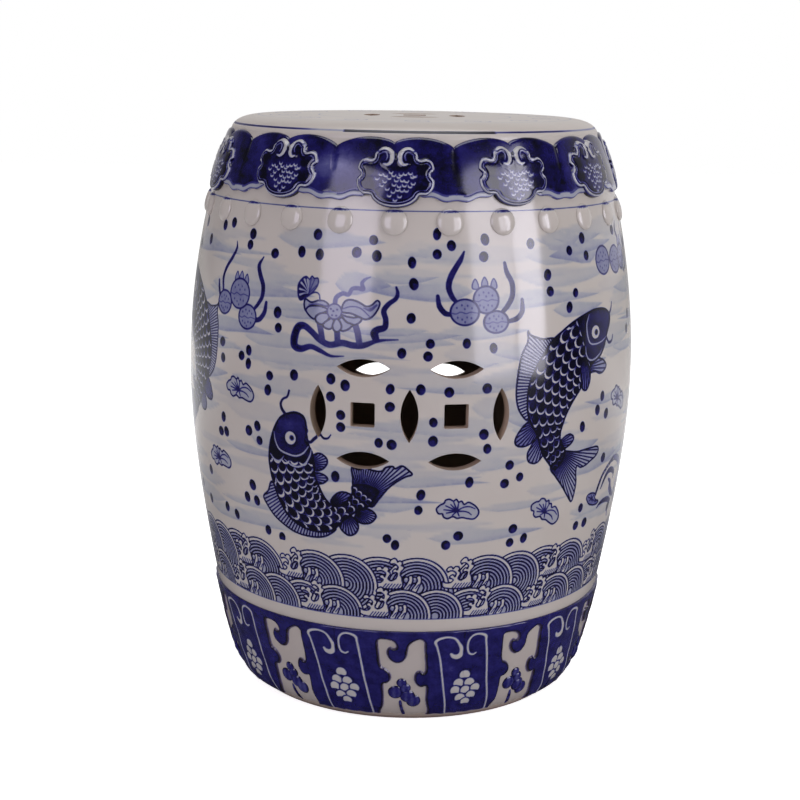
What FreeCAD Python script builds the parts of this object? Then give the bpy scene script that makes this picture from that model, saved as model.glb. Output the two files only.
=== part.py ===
import FreeCAD, Part
import math
import os

os.makedirs("parts", exist_ok=True)

# A ceramic garden stool: a hollow barrel of stoneware with a pierced seat, luted together from
# clay pieces. Lengths are in millimetres, angles in degrees, +Z is up and the floor is at zero.
# Azimuth is measured from the front, which faces -Y, and grows towards +X.

# Size of the whole stool: the widest radius and the height of the rim
belly_radius = 180.5
rim_height = 452.0

# Barrel outline, as inset from the belly and height of each point that gives it its shape
foot_inset = 51.0
foot_turn_inset, foot_turn_height = 41.8, 9.0
foot_joint_inset, foot_joint_height = 34.4, 24.0
lower_band_inset, lower_band_height = 25.5, 60.0
wave_line_inset, wave_line_height = 18.7, 95.0
lower_belly_inset, lower_belly_height = 6.6, 170.0
belly_height = 255.0
upper_belly_inset, upper_belly_height = 7.0, 345.0
shoulder_inset, shoulder_drop = 20.2, 45.0
rim_inset = 36.0

# Seat: a slab with a soft edge and a slight crown, sitting on the wall
seat_rise = 8.0
seat_joint_drop = 4.0
seat_edge_inset, seat_edge_drop = 7.0, 3.0
seat_crown_inset, seat_crown_drop = 24.0, 0.5

# Clay thickness
wall_thickness = 9.0
foot_width = 13.0

# Pierced coins: four lenses round a square hole
lens_length = 39.5
lens_width = 13.0
lens_offset = 34.1
coin_hole_side = 18.0
coin_drop = 1.8
coin_sides = (0.0, 180.0)

# Row of studs under the shoulder line
stud_count = 26
stud_drop = 60.8
stud_diameter = 19.0
stud_rise = 3.2
stud_start = -4.6

# Collar of lappets round the top, with a cleft at the head of each
lappet_count = 11
lappet_rise = 2.2
lappet_start = 11.0
lappet_cleft_drop = 9.4
lappet_peak_drop = 1.7
lappet_junction_drop = 6.4
lappet_side_drop = 27.0
lappet_hem_drop = 40.0
lappet_foot_drop = 46.5
lappet_hem_half_width = 21.0
lappet_overlap = 2.5

# Ruyi heads over the joints between the lappets
ruyi_rise = 4.4
ruyi_rim_drop = 31.0
ruyi_body_radius = 17.0
ruyi_lobe_radius = 7.2
ruyi_volute_radius = 6.0
ruyi_drop_radius = 12.0
ruyi_lobe_reach = 20.0
ruyi_upper_lobe_rise = 9.8
ruyi_lower_lobe_drop = 5.6
ruyi_volute_reach = 9.6
ruyi_volute_rise = 16.2
ruyi_drop_depth = 8.3

# Foot frieze: a raised band with a white reserve sunk into each panel
frieze_rise = 2.0
frieze_bottom = 6.0
frieze_top = 82.5
reserve_count = 10
reserve_start = -1.2
reserve_top = 75.5
reserve_left_top, reserve_left_foot = -16.9, -15.6
reserve_right_top, reserve_right_foot = 16.4, 21.6
knob_radius = 6.4
knob_left_side, knob_left_height = -14.2, 44.0
knob_right_side, knob_right_height = 18.0, 41.8
bulb_radius = 7.1
bulb_side, bulb_height = -3.0, 63.0
neck_left, neck_right = -4.0, 5.0
petal_small_radius = 3.7
petal_large_radius = 5.6
petal_places = (
    (0.6, 37.6, petal_small_radius),
    (3.8, 32.6, petal_small_radius),
    (-4.3, 28.6, petal_large_radius),
    (5.6, 25.6, petal_large_radius),
    (10.3, 21.4, petal_large_radius),
)
stem_side, stem_width = 1.4, 3.4

# Tools reach this far past what they cut
reach = 20.0

axis_point = FreeCAD.Vector(0, 0, 0)
up = FreeCAD.Vector(0, 0, 1)
full_turn = 360.0

# Places that follow from the sizes above
foot_radius = belly_radius - foot_inset
foot_turn_radius = belly_radius - foot_turn_inset
foot_joint_radius = belly_radius - foot_joint_inset
shoulder_radius = belly_radius - shoulder_inset
rim_radius = belly_radius - rim_inset
stool_height = rim_height + seat_rise
coin_height = belly_height - coin_drop
stud_height = rim_height - stud_drop
ruyi_height = rim_height - ruyi_rim_drop

outline_points = (
    (foot_joint_radius, foot_joint_height),
    (belly_radius - lower_band_inset, lower_band_height),
    (belly_radius - wave_line_inset, wave_line_height),
    (belly_radius - lower_belly_inset, lower_belly_height),
    (belly_radius, belly_height),
    (belly_radius - upper_belly_inset, upper_belly_height),
    (shoulder_radius, rim_height - shoulder_drop),
    (rim_radius, rim_height),
)
seat_joint_height = rim_height - seat_joint_drop
largest_radius = belly_radius + reach


def in_section(radius, height):
    """A point of the half section, in the XZ plane."""
    return FreeCAD.Vector(radius, 0, height)


def side_curve(growth):
    """The side of the barrel from the foot joint to the rim, moved outwards by growth."""
    curve = Part.BSplineCurve()
    curve.interpolate([in_section(radius + growth, height) for radius, height in outline_points])
    return curve


def foot_arc(growth):
    """The rounded lower edge, from the floor to the foot joint."""
    return Part.Arc(
        in_section(foot_radius + growth, 0),
        in_section(foot_turn_radius + growth, foot_turn_height),
        in_section(foot_joint_radius + growth, foot_joint_height),
    )


def revolved(edges):
    """A solid of revolution from the edges of a closed half section."""
    face = Part.Face(Part.Wire(Part.__sortEdges__(edges)))
    return face.revolve(axis_point, up, full_turn)


def line(start, end):
    return Part.LineSegment(start, end).toShape()


def side_solid(growth):
    """The solid barrel from the floor to the rim, moved outwards by growth."""
    return revolved(
        [
            foot_arc(growth).toShape(),
            side_curve(growth).toShape(),
            line(in_section(rim_radius + growth, rim_height), in_section(0, rim_height)),
            line(in_section(0, rim_height), in_section(0, 0)),
            line(in_section(0, 0), in_section(foot_radius + growth, 0)),
        ]
    )


def slab(bottom, top):
    """A disc wider than the barrel between two heights."""
    return Part.makeCylinder(largest_radius, top - bottom, in_section(0, bottom))


def barrel_radius(height):
    """Radius of the outside at a height on the side of the barrel."""
    level = Part.Line(in_section(0, height), in_section(largest_radius, height))
    return side_curve(0).intersect(level)[0].X


def turned(shape, azimuth):
    """The shape turned about the barrel's axis. Azimuth 0 is the front."""
    copy = shape.copy()
    copy.rotate(axis_point, up, azimuth)
    return copy


def pushed(wire_edges, inner=0.0):
    """A prism through the front wall, from edges drawn in the XZ plane."""
    face = Part.Face(Part.Wire(Part.__sortEdges__(wire_edges)))
    face.translate(FreeCAD.Vector(0, -inner, 0))
    return face.extrude(FreeCAD.Vector(0, inner - largest_radius, 0))


def polygon(points):
    """Straight edges round a list of side and height pairs."""
    corners = [in_section(side, height) for side, height in points]
    return [line(start, end) for start, end in zip(corners, corners[1:] + corners[:1])]


def round_bar(side, height, radius):
    """A round bar from in front of the wall to the axis, its seam at the top."""
    front = FreeCAD.Vector(side, -largest_radius, height)
    return Part.makeCylinder(radius, largest_radius, front, FreeCAD.Vector(0, 1, 0))


def lens_edges(side, height, upright):
    """Two arcs that meet in points, as the outline of one lens hole."""
    half_length, half_width = lens_length / 2, lens_width / 2
    ends = ((0, half_length), (0, -half_length)) if upright else ((-half_length, 0), (half_length, 0))
    bulge = (half_width, 0) if upright else (0, half_width)
    start, end = (in_section(side + step[0], height + step[1]) for step in ends)
    return [
        Part.Arc(start, in_section(side + bulge[0], height + bulge[1]), end).toShape(),
        Part.Arc(end, in_section(side - bulge[0], height - bulge[1]), start).toShape(),
    ]


def square_edges(height):
    """The square hole in the middle of a coin."""
    half = coin_hole_side / 2
    low, high = height - half, height + half
    return polygon([(-half, low), (half, low), (half, high), (-half, high)])


def skin(growth):
    """The layer between the barrel and the barrel moved outwards by growth."""
    return side_solid(growth).cut(barrel)


def make_foot_ring():
    """The thick ring that the stool stands on, with its rounded edge."""
    joint_outside = in_section(foot_joint_radius, foot_joint_height)
    joint_inside = in_section(foot_joint_radius - wall_thickness, foot_joint_height)
    floor_inside = in_section(foot_radius - foot_width, 0)
    return revolved(
        [
            foot_arc(0).toShape(),
            line(joint_outside, joint_inside),
            line(joint_inside, floor_inside),
            line(floor_inside, in_section(foot_radius, 0)),
        ]
    )


def coin_azimuths():
    """Azimuths of the coins' centres and of the upright lenses of one pierced side."""
    step = math.degrees(lens_offset / barrel_radius(coin_height))
    return (-step, step), (-2 * step, 0.0, 2 * step)


def make_barrel_wall():
    """The wall from the foot ring to the seat, pierced front and back with a pair of coins."""
    ring = side_solid(0).cut(side_solid(-wall_thickness)).common(slab(foot_joint_height, seat_joint_height))
    centres, uprights = coin_azimuths()
    holes = []
    for side in coin_sides:
        for azimuth in centres:
            holes.append(turned(pushed(square_edges(coin_height), belly_radius / 2), side + azimuth))
            for height in (coin_height + lens_offset, coin_height - lens_offset):
                lens = pushed(lens_edges(0, height, upright=False), belly_radius / 2)
                holes.append(turned(lens, side + azimuth))
        for azimuth in uprights:
            lens = pushed(lens_edges(0, coin_height, upright=True), belly_radius / 2)
            holes.append(turned(lens, side + azimuth))
    return ring.cut(holes)


def make_seat_disc():
    """The seat slab with its crown, pierced at the centre with one coin."""
    joint_radius = barrel_radius(seat_joint_height)
    edge = Part.BSplineCurve()
    edge.interpolate(
        [
            in_section(joint_radius, seat_joint_height),
            in_section(rim_radius, rim_height),
            in_section(rim_radius - seat_edge_inset, stool_height - seat_edge_drop),
            in_section(rim_radius - seat_crown_inset, stool_height - seat_crown_drop),
        ]
    )
    crown_edge = in_section(rim_radius - seat_crown_inset, stool_height - seat_crown_drop)
    slab_solid = revolved(
        [
            edge.toShape(),
            line(crown_edge, in_section(0, stool_height)),
            line(in_section(0, stool_height), in_section(0, seat_joint_height)),
            line(in_section(0, seat_joint_height), in_section(joint_radius, seat_joint_height)),
        ]
    )
    outlines = [square_edges(0)]
    outlines += [lens_edges(side, 0, upright=True) for side in (-lens_offset, lens_offset)]
    outlines += [lens_edges(0, side, upright=False) for side in (-lens_offset, lens_offset)]
    holes = []
    for edges in outlines:
        hole = pushed(edges)
        hole.rotate(axis_point, FreeCAD.Vector(1, 0, 0), -90)
        hole.translate(FreeCAD.Vector(0, 0, seat_joint_height - reach))
        holes.append(hole)
    return slab_solid.cut(holes)


def make_stud(azimuth):
    """A shallow dome luted to the shoulder."""
    half = stud_diameter / 2
    ball_radius = (half**2 + stud_rise**2) / (2 * stud_rise)
    lean = math.atan2(
        barrel_radius(stud_height - half) - barrel_radius(stud_height + half), stud_diameter
    )
    sunk = ball_radius - stud_rise
    out = barrel_radius(stud_height) - sunk * math.cos(lean)
    ball = Part.makeSphere(ball_radius, FreeCAD.Vector(0, -out, stud_height - sunk * math.sin(lean)))
    return turned(ball.cut(barrel), azimuth)


def make_lappet_collar():
    """The lappets side by side round the top, with the joints between them under the ruyi heads."""
    half = shoulder_radius * math.sin(math.pi / lappet_count) + lappet_overlap
    left_junction = in_section(-half, rim_height - lappet_junction_drop)
    right_junction = in_section(half, rim_height - lappet_junction_drop)
    cleft = in_section(0, rim_height - lappet_cleft_drop)
    left_hem = in_section(-lappet_hem_half_width, rim_height - lappet_hem_drop)
    right_hem = in_section(lappet_hem_half_width, rim_height - lappet_hem_drop)
    edges = [
        Part.Arc(left_junction, in_section(-half / 2, rim_height - lappet_peak_drop), cleft).toShape(),
        Part.Arc(cleft, in_section(half / 2, rim_height - lappet_peak_drop), right_junction).toShape(),
        line(right_junction, in_section(half, rim_height - lappet_side_drop)),
        line(in_section(half, rim_height - lappet_side_drop), right_hem),
        Part.Arc(right_hem, in_section(0, rim_height - lappet_foot_drop), left_hem).toShape(),
        line(left_hem, in_section(-half, rim_height - lappet_side_drop)),
        line(in_section(-half, rim_height - lappet_side_drop), left_junction),
    ]
    lappet = pushed(edges).common(skin(lappet_rise))
    lappets = [turned(lappet, azimuth) for azimuth in evenly(lappet_start, lappet_count)]
    return lappets[0].fuse(lappets[1:]).removeSplitter()


def make_ruyi_head():
    """One ruyi head at azimuth 0: two volutes above, two lobes each side and a drop below."""
    bars = [round_bar(0, ruyi_height, ruyi_body_radius)]
    bars.append(round_bar(0, ruyi_height - ruyi_drop_depth, ruyi_drop_radius))
    for way in (-1, 1):
        lobe_side = way * ruyi_lobe_reach
        volute_side = way * ruyi_volute_reach
        bars.append(round_bar(lobe_side, ruyi_height + ruyi_upper_lobe_rise, ruyi_lobe_radius))
        bars.append(round_bar(lobe_side, ruyi_height - ruyi_lower_lobe_drop, ruyi_lobe_radius))
        bars.append(round_bar(volute_side, ruyi_height + ruyi_volute_rise, ruyi_volute_radius))
    blank = bars[0].fuse(bars[1:])
    return blank.common(skin(ruyi_rise))


def frieze_band():
    """The raised band round the foot before its reserves are sunk."""
    return skin(frieze_rise).common(slab(frieze_bottom, frieze_top))


def make_reserve_tool():
    """The sunk white field of one panel, less the knobs and the hanging bulb that stay raised in it."""
    floor = frieze_bottom - reach
    field = pushed(
        polygon(
            [
                (reserve_left_top, reserve_top),
                (reserve_left_foot, floor),
                (reserve_right_foot, floor),
                (reserve_right_top, reserve_top),
            ]
        ),
        belly_radius / 2,
    )
    neck = [
        (neck_left, bulb_height),
        (neck_right, bulb_height),
        (neck_right, frieze_top),
        (neck_left, frieze_top),
    ]
    raised = [
        round_bar(knob_left_side, knob_left_height, knob_radius),
        round_bar(knob_right_side, knob_right_height, knob_radius),
        round_bar(bulb_side, bulb_height, bulb_radius),
        pushed(polygon(neck)),
    ]
    return field.cut(raised)


def make_foot_frieze():
    """The raised band round the foot, with its sunk reserves."""
    tool = make_reserve_tool()
    return frieze_band().cut([turned(tool, azimuth) for azimuth in reserve_azimuths])


def make_reserve_flower():
    """The flower on its stem that is luted into a reserve, at azimuth 0."""
    petals = [round_bar(side, height, radius) for side, height, radius in petal_places]
    stem_top = petal_places[2][1]
    left, right = stem_side - stem_width / 2, stem_side + stem_width / 2
    floor = frieze_bottom - reach
    stem = pushed(polygon([(left, floor), (right, floor), (right, stem_top), (left, stem_top)]))
    return stem.fuse(petals).common(frieze_band())


def write(name, shape):
    """One file per piece, named after it."""
    solids = shape.Solids
    piece = solids[0] if len(solids) == 1 else Part.makeCompound(solids)
    piece.exportStep("parts/" + name + ".step")
    print(name, len(solids), round(piece.Volume), piece.isValid())


def evenly(start, count, shift=0.0):
    """Azimuths of a ring of equal pieces, turned on by a share of their spacing."""
    return [start + full_turn / count * (index + shift) for index in range(count)]


barrel = side_solid(0)
reserve_azimuths = evenly(reserve_start, reserve_count)

write("foot_ring", make_foot_ring())
write("barrel_wall", make_barrel_wall())
write("seat_disc", make_seat_disc())
write("foot_frieze", make_foot_frieze())

flower = make_reserve_flower()
for number, azimuth in enumerate(reserve_azimuths, start=1):
    write("reserve_flower_%02d" % number, turned(flower, azimuth))

collar = make_lappet_collar()
write("lappet_collar", collar)

ruyi_head = make_ruyi_head()
for number, azimuth in enumerate(evenly(lappet_start, lappet_count, 0.5), start=1):
    write("ruyi_head_%02d" % number, turned(ruyi_head, azimuth).cut(collar))

for number, azimuth in enumerate(evenly(stud_start, stud_count), start=1):
    write("stud_%02d" % number, make_stud(azimuth))
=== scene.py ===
import math

import bpy
import numpy as np
from mathutils import Matrix, Vector
from mathutils.geometry import delaunay_2d_cdt


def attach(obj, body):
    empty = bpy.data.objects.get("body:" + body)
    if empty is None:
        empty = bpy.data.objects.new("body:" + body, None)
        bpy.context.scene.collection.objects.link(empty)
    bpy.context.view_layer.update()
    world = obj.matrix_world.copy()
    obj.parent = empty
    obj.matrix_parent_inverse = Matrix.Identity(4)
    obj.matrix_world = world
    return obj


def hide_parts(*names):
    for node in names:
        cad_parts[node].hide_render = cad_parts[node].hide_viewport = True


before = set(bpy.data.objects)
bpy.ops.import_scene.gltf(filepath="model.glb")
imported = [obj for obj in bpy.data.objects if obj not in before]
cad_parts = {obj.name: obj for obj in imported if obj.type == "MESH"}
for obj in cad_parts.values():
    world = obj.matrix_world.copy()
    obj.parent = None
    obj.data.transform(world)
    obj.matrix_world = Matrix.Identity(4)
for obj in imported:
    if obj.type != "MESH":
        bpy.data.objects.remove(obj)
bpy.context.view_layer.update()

# The photographer's table: camera, daylight box lamps and a white sweep
# The lens looks slightly down on the stool from 1.3 m, a little turned and tilted as the camera
# was for the photograph. Lengths are in metres here only.

camera_place = (0.0, -1.298, 0.5067)
camera_turn, camera_drop, camera_roll = 0.358, 12.185, 0.910

camera_data = bpy.data.cameras.new("camera")
camera_data.lens, camera_data.sensor_width = 71.84, 36.0
camera = bpy.data.objects.new("camera", camera_data)
camera.matrix_world = (
    Matrix.Translation(camera_place)
    @ Matrix.Rotation(math.radians(camera_turn), 4, "Z")
    @ Matrix.Rotation(math.radians(90 - camera_drop), 4, "X")
    @ Matrix.Rotation(math.radians(camera_roll), 4, "Z")
)
bpy.context.scene.collection.objects.link(camera)
bpy.context.scene.camera = camera
bpy.context.scene.view_settings.view_transform = "Standard"


def linear(colour):
    """A six-figure sRGB hex colour as linear red, green, blue and alpha."""
    values = np.array([int(colour[i : i + 2], 16) for i in (0, 2, 4)]) / 255
    values = np.where(values <= 0.04045, values / 12.92, ((values + 0.055) / 1.055) ** 2.4)
    return (*values.tolist(), 1.0)


def node(tree, kind, settings=None, **links):
    """Adds a shader node: settings on the node itself, then its inputs by name, or by number as
    i0 and i1, each a value, a socket, or another node for its first output."""
    made = tree.nodes.new(kind)
    for name, value in (settings or {}).items():
        setattr(made, name, value)
    for name, value in links.items():
        key = int(name[1:]) if name[0] == "i" and name[1:].isdigit() else name.replace("_", " ")
        value = value.outputs[0] if isinstance(value, bpy.types.Node) else value
        if isinstance(value, bpy.types.NodeSocket):
            tree.links.new(value, made.inputs[key])
        else:
            made.inputs[key].default_value = value
    return made


def add_lamp(name, place, aim, width, height, watts, colour, lights=True, shines=True):
    """A rectangular daylight lamp at a place, aimed at a point. It can be left out of the plain
    light (lights) or out of the gloss (shines)."""
    lamp = bpy.data.lights.new(name, "AREA")
    lamp.shape, lamp.size, lamp.size_y, lamp.energy = "RECTANGLE", width, height, watts
    lamp.color = linear(colour)[:3]
    item = bpy.data.objects.new(name, lamp)
    away = (Vector(place) - Vector(aim)).to_track_quat("Z", "Y")
    item.matrix_world = Matrix.Translation(place) @ away.to_matrix().to_4x4()
    item.visible_diffuse, item.visible_glossy = lights, shines
    bpy.context.scene.collection.objects.link(item)


# Two windows light the stool from both sides, and the bright curtain beside the right one shows
# in the glaze alone. The light from above and behind is the white room's.
add_lamp("window_left", (-0.85, -1.36, 0.83), (0, 0, 0.40), 0.80, 1.0, 8.2, "EBE4FF")
add_lamp("window_right", (1.42, -0.82, 0.70), (0, 0, 0.33), 0.45, 1.25, 11.5, "F4F1FF")
add_lamp("ceiling", (0.0, -0.1, 2.1), (0, 0, 0.4), 1.4, 1.4, 15, "FFFFFF")
add_lamp("behind", (-0.5, 1.6, 0.9), (0, 0, 0.25), 1.2, 1.2, 9, "FFFFFF", shines=False)
add_lamp("curtain_right", (1.08, -1.27, 0.70), (0, 0, 0.33), 0.65, 1.25, 10, "F4F1FF", lights=False)

world = bpy.data.worlds.new("studio")
world.use_nodes = True
tree = world.node_tree
tree.nodes.clear()
# The room: even for plain light, dark before the stool and paler behind it for gloss, and white
# to the camera.
seen = node(tree, "ShaderNodeLightPath")
room = node(tree, "ShaderNodeBackground", Color=linear("F0EFEC"), Strength=0.42)
sight = node(tree, "ShaderNodeTexCoord").outputs["Generated"]
toward = node(tree, "ShaderNodeVectorMath", {"operation": "DOT_PRODUCT"}, i0=sight, i1=(0.3, 0.9, 0.0))
behind = node(
    tree, "ShaderNodeMapRange", Value=toward.outputs["Value"], From_Min=0.4, From_Max=0.92, To_Min=0.06,
    To_Max=0.8,
)
mirrored = node(tree, "ShaderNodeBackground", Color=linear("F6F3F5"), Strength=behind)
white = node(tree, "ShaderNodeBackground", Color=linear("FFFFFF"), Strength=1.0)
walls = node(tree, "ShaderNodeMixShader", i0=seen.outputs["Is Glossy Ray"], i1=room, i2=mirrored)
mixed = node(tree, "ShaderNodeMixShader", i0=seen.outputs["Is Camera Ray"], i1=walls, i2=white)
node(tree, "ShaderNodeOutputWorld", Surface=mixed)
bpy.context.scene.world = world

floor_mesh = bpy.data.meshes.new("floor")
floor_mesh.from_pydata([(-6, -6, 0), (6, -6, 0), (6, 6, 0), (-6, 6, 0)], [], [(0, 1, 2, 3)])
floor = bpy.data.objects.new("floor", floor_mesh)
bpy.context.scene.collection.objects.link(floor)
# White paper, which the camera sees pure white round the shadow, and which is dim in the gloss of
# the front so that the foot keeps its colour.
paper = bpy.data.materials.new("white_paper_sweep")
paper.use_nodes = True
tree = paper.node_tree
tree.nodes.clear()
seen = node(tree, "ShaderNodeLightPath")
pale = node(tree, "ShaderNodeBsdfDiffuse", Color=linear("F4F4F4"))
dim = node(tree, "ShaderNodeBsdfDiffuse", Color=linear("5A5A5C"))
where = node(tree, "ShaderNodeSeparateXYZ", Vector=node(tree, "ShaderNodeTexCoord").outputs["Object"])
front = node(
    tree, "ShaderNodeMapRange", Value=where.outputs[1], From_Min=0.2, From_Max=0.7, To_Min=1.0, To_Max=0.0,
)
mirrored = node(tree, "ShaderNodeMath", {"operation": "MULTIPLY"}, i0=seen.outputs["Is Glossy Ray"], i1=front)
matt = node(tree, "ShaderNodeMixShader", i0=mirrored, i1=pale, i2=dim)
shown = node(tree, "ShaderNodeMath", {"operation": "MULTIPLY"}, i0=seen.outputs["Is Camera Ray"], i1=0.76)
glow = node(tree, "ShaderNodeEmission", Color=linear("FFFFFF"), Strength=shown)
both = node(tree, "ShaderNodeAddShader", i0=matt, i1=glow)
node(tree, "ShaderNodeOutputMaterial", Surface=both)
floor_mesh.materials.append(paper)

# Barrel wall
# Thrown stoneware, 9 mm thick, biscuit fired, painted with cobalt and dipped in a clear glaze.
# From here on lengths are in mm and azimuths in degrees from the front, growing towards +X.

belly_radius, foot_joint_radius, foot_joint_height = 180.5, 146.1, 24.0
outline_heights = np.array([foot_joint_height, 60.0, 95.0, 170.0, 255.0, 345.0, 407.0, 452.0])
outline_radii = np.array([foot_joint_radius, 155.0, 161.8, 173.9, belly_radius, 173.5, 160.3, 144.5])
foot_arc = ((129.5, 0.0), (138.7, 9.0), (foot_joint_radius, foot_joint_height))
wall = 9.0


def spline_slopes(x, y):
    """Slopes of the smooth cubic through points: the bend is the same on both sides of each inner
    point, and the third slope is the same on both sides of the first and the last inner one."""
    h, count = np.diff(x), len(x)
    rise = np.diff(y) / h
    left, right = np.zeros((count, count)), np.zeros(count)
    for i in range(1, count - 1):
        left[i, i - 1 : i + 2] = h[i], 2 * (h[i - 1] + h[i]), h[i - 1]
        right[i] = 3 * (h[i] * rise[i - 1] + h[i - 1] * rise[i])
    for row, i, step in ((0, 0, 1), (count - 1, count - 1, -1)):
        a, b = (h[0], h[1]) if row == 0 else (h[-1], h[-2])
        s, t = (rise[0], rise[1]) if row == 0 else (rise[-1], rise[-2])
        left[row, i], left[row, i + step] = b, a + b
        right[row] = (b * s * (2 * b + 3 * a) + a * a * t) / (a + b)
    return np.linalg.solve(left, right)


def circle_through(points):
    """Centre and radius of the circle through three points, from the equal distances to them."""
    (x, y), others = points[0], np.array(points[1:])
    gaps = 2 * (others - (x, y))
    centre = np.linalg.solve(gaps, (others**2).sum(1) - x * x - y * y)
    return centre, math.hypot(x - centre[0], y - centre[1])


outline_slopes = spline_slopes(outline_heights, outline_radii)
foot_centre, foot_round = circle_through(foot_arc)


def radius_at(z):
    """Outside radius of the barrel at a height: the cubic through the outline's points, and the
    arc of the foot below the lowest of them."""
    z = np.asarray(z, float)
    below = foot_centre[0] + np.sqrt(np.clip(foot_round**2 - (z - foot_centre[1]) ** 2, 0, None))
    i = np.clip(np.searchsorted(outline_heights, z) - 1, 0, len(outline_heights) - 2)
    h = outline_heights[i + 1] - outline_heights[i]
    t = (z - outline_heights[i]) / h
    y0, y1, m0, m1 = outline_radii[i], outline_radii[i + 1], outline_slopes[i] * h, outline_slopes[i + 1] * h
    above = y0 + t * m0 + t**2 * (3 * (y1 - y0) - 2 * m0 - m1) + t**3 * (2 * (y0 - y1) + m0 + m1)
    return np.where(z < outline_heights[0], below, above)


def on_barrel(azimuth, z, out=0.0):
    """Points on the barrel moved outwards: radius times the sine and minus the cosine of the azimuth."""
    angle, z, out = np.broadcast_arrays(np.radians(azimuth), z, out)
    radius = radius_at(z) + out
    return np.stack([radius * np.sin(angle), -radius * np.cos(angle), z], -1)


def add_piece(name, vertices, faces, tone, clay, nodes):
    """A glazed piece from vertices in mm, a list of face arrays, and its two paint values at each
    vertex: tone, the thickness of the cobalt, and clay, 1 where the clay is bare. It stands for
    the drawing's nodes."""
    mesh = bpy.data.meshes.new(name)
    mesh.vertices.add(len(vertices))
    mesh.vertices.foreach_set("co", (np.asarray(vertices, float) * 0.001).ravel())
    loops = np.concatenate([np.asarray(f).ravel() for f in faces])
    sizes = np.concatenate([np.full(len(f), np.asarray(f).shape[1]) for f in faces])
    mesh.loops.add(len(loops))
    mesh.loops.foreach_set("vertex_index", loops)
    mesh.polygons.add(len(sizes))
    mesh.polygons.foreach_set("loop_start", np.concatenate([[0], np.cumsum(sizes)[:-1]]))
    mesh.update(calc_edges=True)
    mesh.validate()
    paint = mesh.attributes.new("paint", "FLOAT_COLOR", "POINT")
    count = len(vertices)
    values = np.stack(
        [np.broadcast_to(tone, count), np.broadcast_to(clay, count), np.zeros(count), np.ones(count)], -1,
    )
    paint.data.foreach_set("color", values.ravel())
    mesh.shade_smooth()
    mesh.set_sharp_from_angle(angle=math.radians(42))
    mesh.materials.append(glaze)
    piece = bpy.data.objects.new(name, mesh)
    bpy.context.scene.collection.objects.link(piece)
    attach(piece, "root")
    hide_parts(*nodes)


# Cobalt brushed on white slip under a clear stoneware glaze, which has an IOR of about 1.55 and a
# roughness of about 0.1. The tone of the paint runs from a lavender wash to blue-black, streaky
# where it is thick; the glaze adds a hard, slightly wavy gloss; wiped clay is dull, about 0.7.
tones = (
    (0.0, "B9B3AC"),
    (0.14, "A1A3A7"),
    (0.30, "7D819B"),
    (0.50, "4A4B80"),
    (0.72, "201D60"),
    (0.86, "110D46"),
    (1.0, "050418"),
)
glaze_gloss, clay_rough, glaze_ior = 0.12, 0.7, 1.58
wave_size, streak_size, blotch_size, speck_size = 55.0, 18.0, 9.0, 1.6
bare_clay = "A9927F"

glaze = bpy.data.materials.new("clear_glaze_over_cobalt")
glaze.use_nodes = True
tree = glaze.node_tree
tree.nodes.clear()
place = node(tree, "ShaderNodeTexCoord").outputs["Object"]
paint = node(tree, "ShaderNodeAttribute", {"attribute_name": "paint"})
channels = node(tree, "ShaderNodeSeparateColor", Color=paint.outputs["Color"])
tone_value, clay_value = channels.outputs["Red"], channels.outputs["Green"]
brushed = node(tree, "ShaderNodeMapping", Vector=place, Scale=(1.0, 1.0, 2.4))
streaks = node(
    tree, "ShaderNodeTexNoise", Vector=brushed, Scale=1000 / streak_size, Detail=4.0, Roughness=0.6,
)
specks = node(tree, "ShaderNodeTexNoise", Vector=place, Scale=1000 / speck_size, Detail=2.0)
uneven = node(tree, "ShaderNodeMath", {"operation": "MULTIPLY_ADD"}, i0=streaks, i1=0.36, i2=-0.18)
grain = node(tree, "ShaderNodeMath", {"operation": "MULTIPLY_ADD"}, i0=specks, i1=0.16, i2=-0.08)
blotches = node(
    tree, "ShaderNodeTexNoise", Vector=place, Scale=1000 / blotch_size, Detail=3.0, Roughness=0.65,
)
patchy = node(tree, "ShaderNodeMath", {"operation": "MULTIPLY_ADD"}, i0=blotches, i1=0.5, i2=-0.25)
noise = node(tree, "ShaderNodeMath", {"operation": "ADD"}, i0=uneven, i1=grain)
noise = node(tree, "ShaderNodeMath", {"operation": "ADD"}, i0=noise, i1=patchy)
scaled = node(tree, "ShaderNodeMath", {"operation": "MULTIPLY"}, i0=noise, i1=tone_value)
thick = node(tree, "ShaderNodeMath", {"operation": "ADD", "use_clamp": True}, i0=tone_value, i1=scaled)
ramp = node(tree, "ShaderNodeValToRGB", Fac=thick)
while len(ramp.color_ramp.elements) < len(tones):
    ramp.color_ramp.elements.new(0.5)
for element, (position, colour) in zip(ramp.color_ramp.elements, tones):
    element.position, element.color = position, linear(colour)
dusty = node(tree, "ShaderNodeTexNoise", Vector=place, Scale=14.0, Detail=3.0)
warm = node(tree, "ShaderNodeMix", {"data_type": "RGBA", "blend_type": "MULTIPLY"}, Factor=dusty)
tree.links.new(ramp.outputs["Color"], warm.inputs["A"])
warm.inputs["B"].default_value = linear("F1EDEA")
earth = node(tree, "ShaderNodeMix", {"data_type": "RGBA"}, Factor=clay_value)
tree.links.new(warm.outputs["Result"], earth.inputs["A"])
earth.inputs["B"].default_value = linear(bare_clay)
rough = node(tree, "ShaderNodeMapRange", Value=clay_value, To_Min=glaze_gloss, To_Max=clay_rough)
swell = node(tree, "ShaderNodeTexNoise", Vector=place, Scale=1000 / wave_size, Detail=2.0)
bump = node(tree, "ShaderNodeBump", Strength=0.35, Distance=0.0012, Height=swell)
surface = node(
    tree,
    "ShaderNodeBsdfPrincipled",
    Base_Color=earth.outputs["Result"],
    Roughness=rough.outputs["Result"],
    Normal=bump.outputs["Normal"],
    IOR=glaze_ior,
)
node(tree, "ShaderNodeOutputMaterial", Surface=surface)

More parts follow.
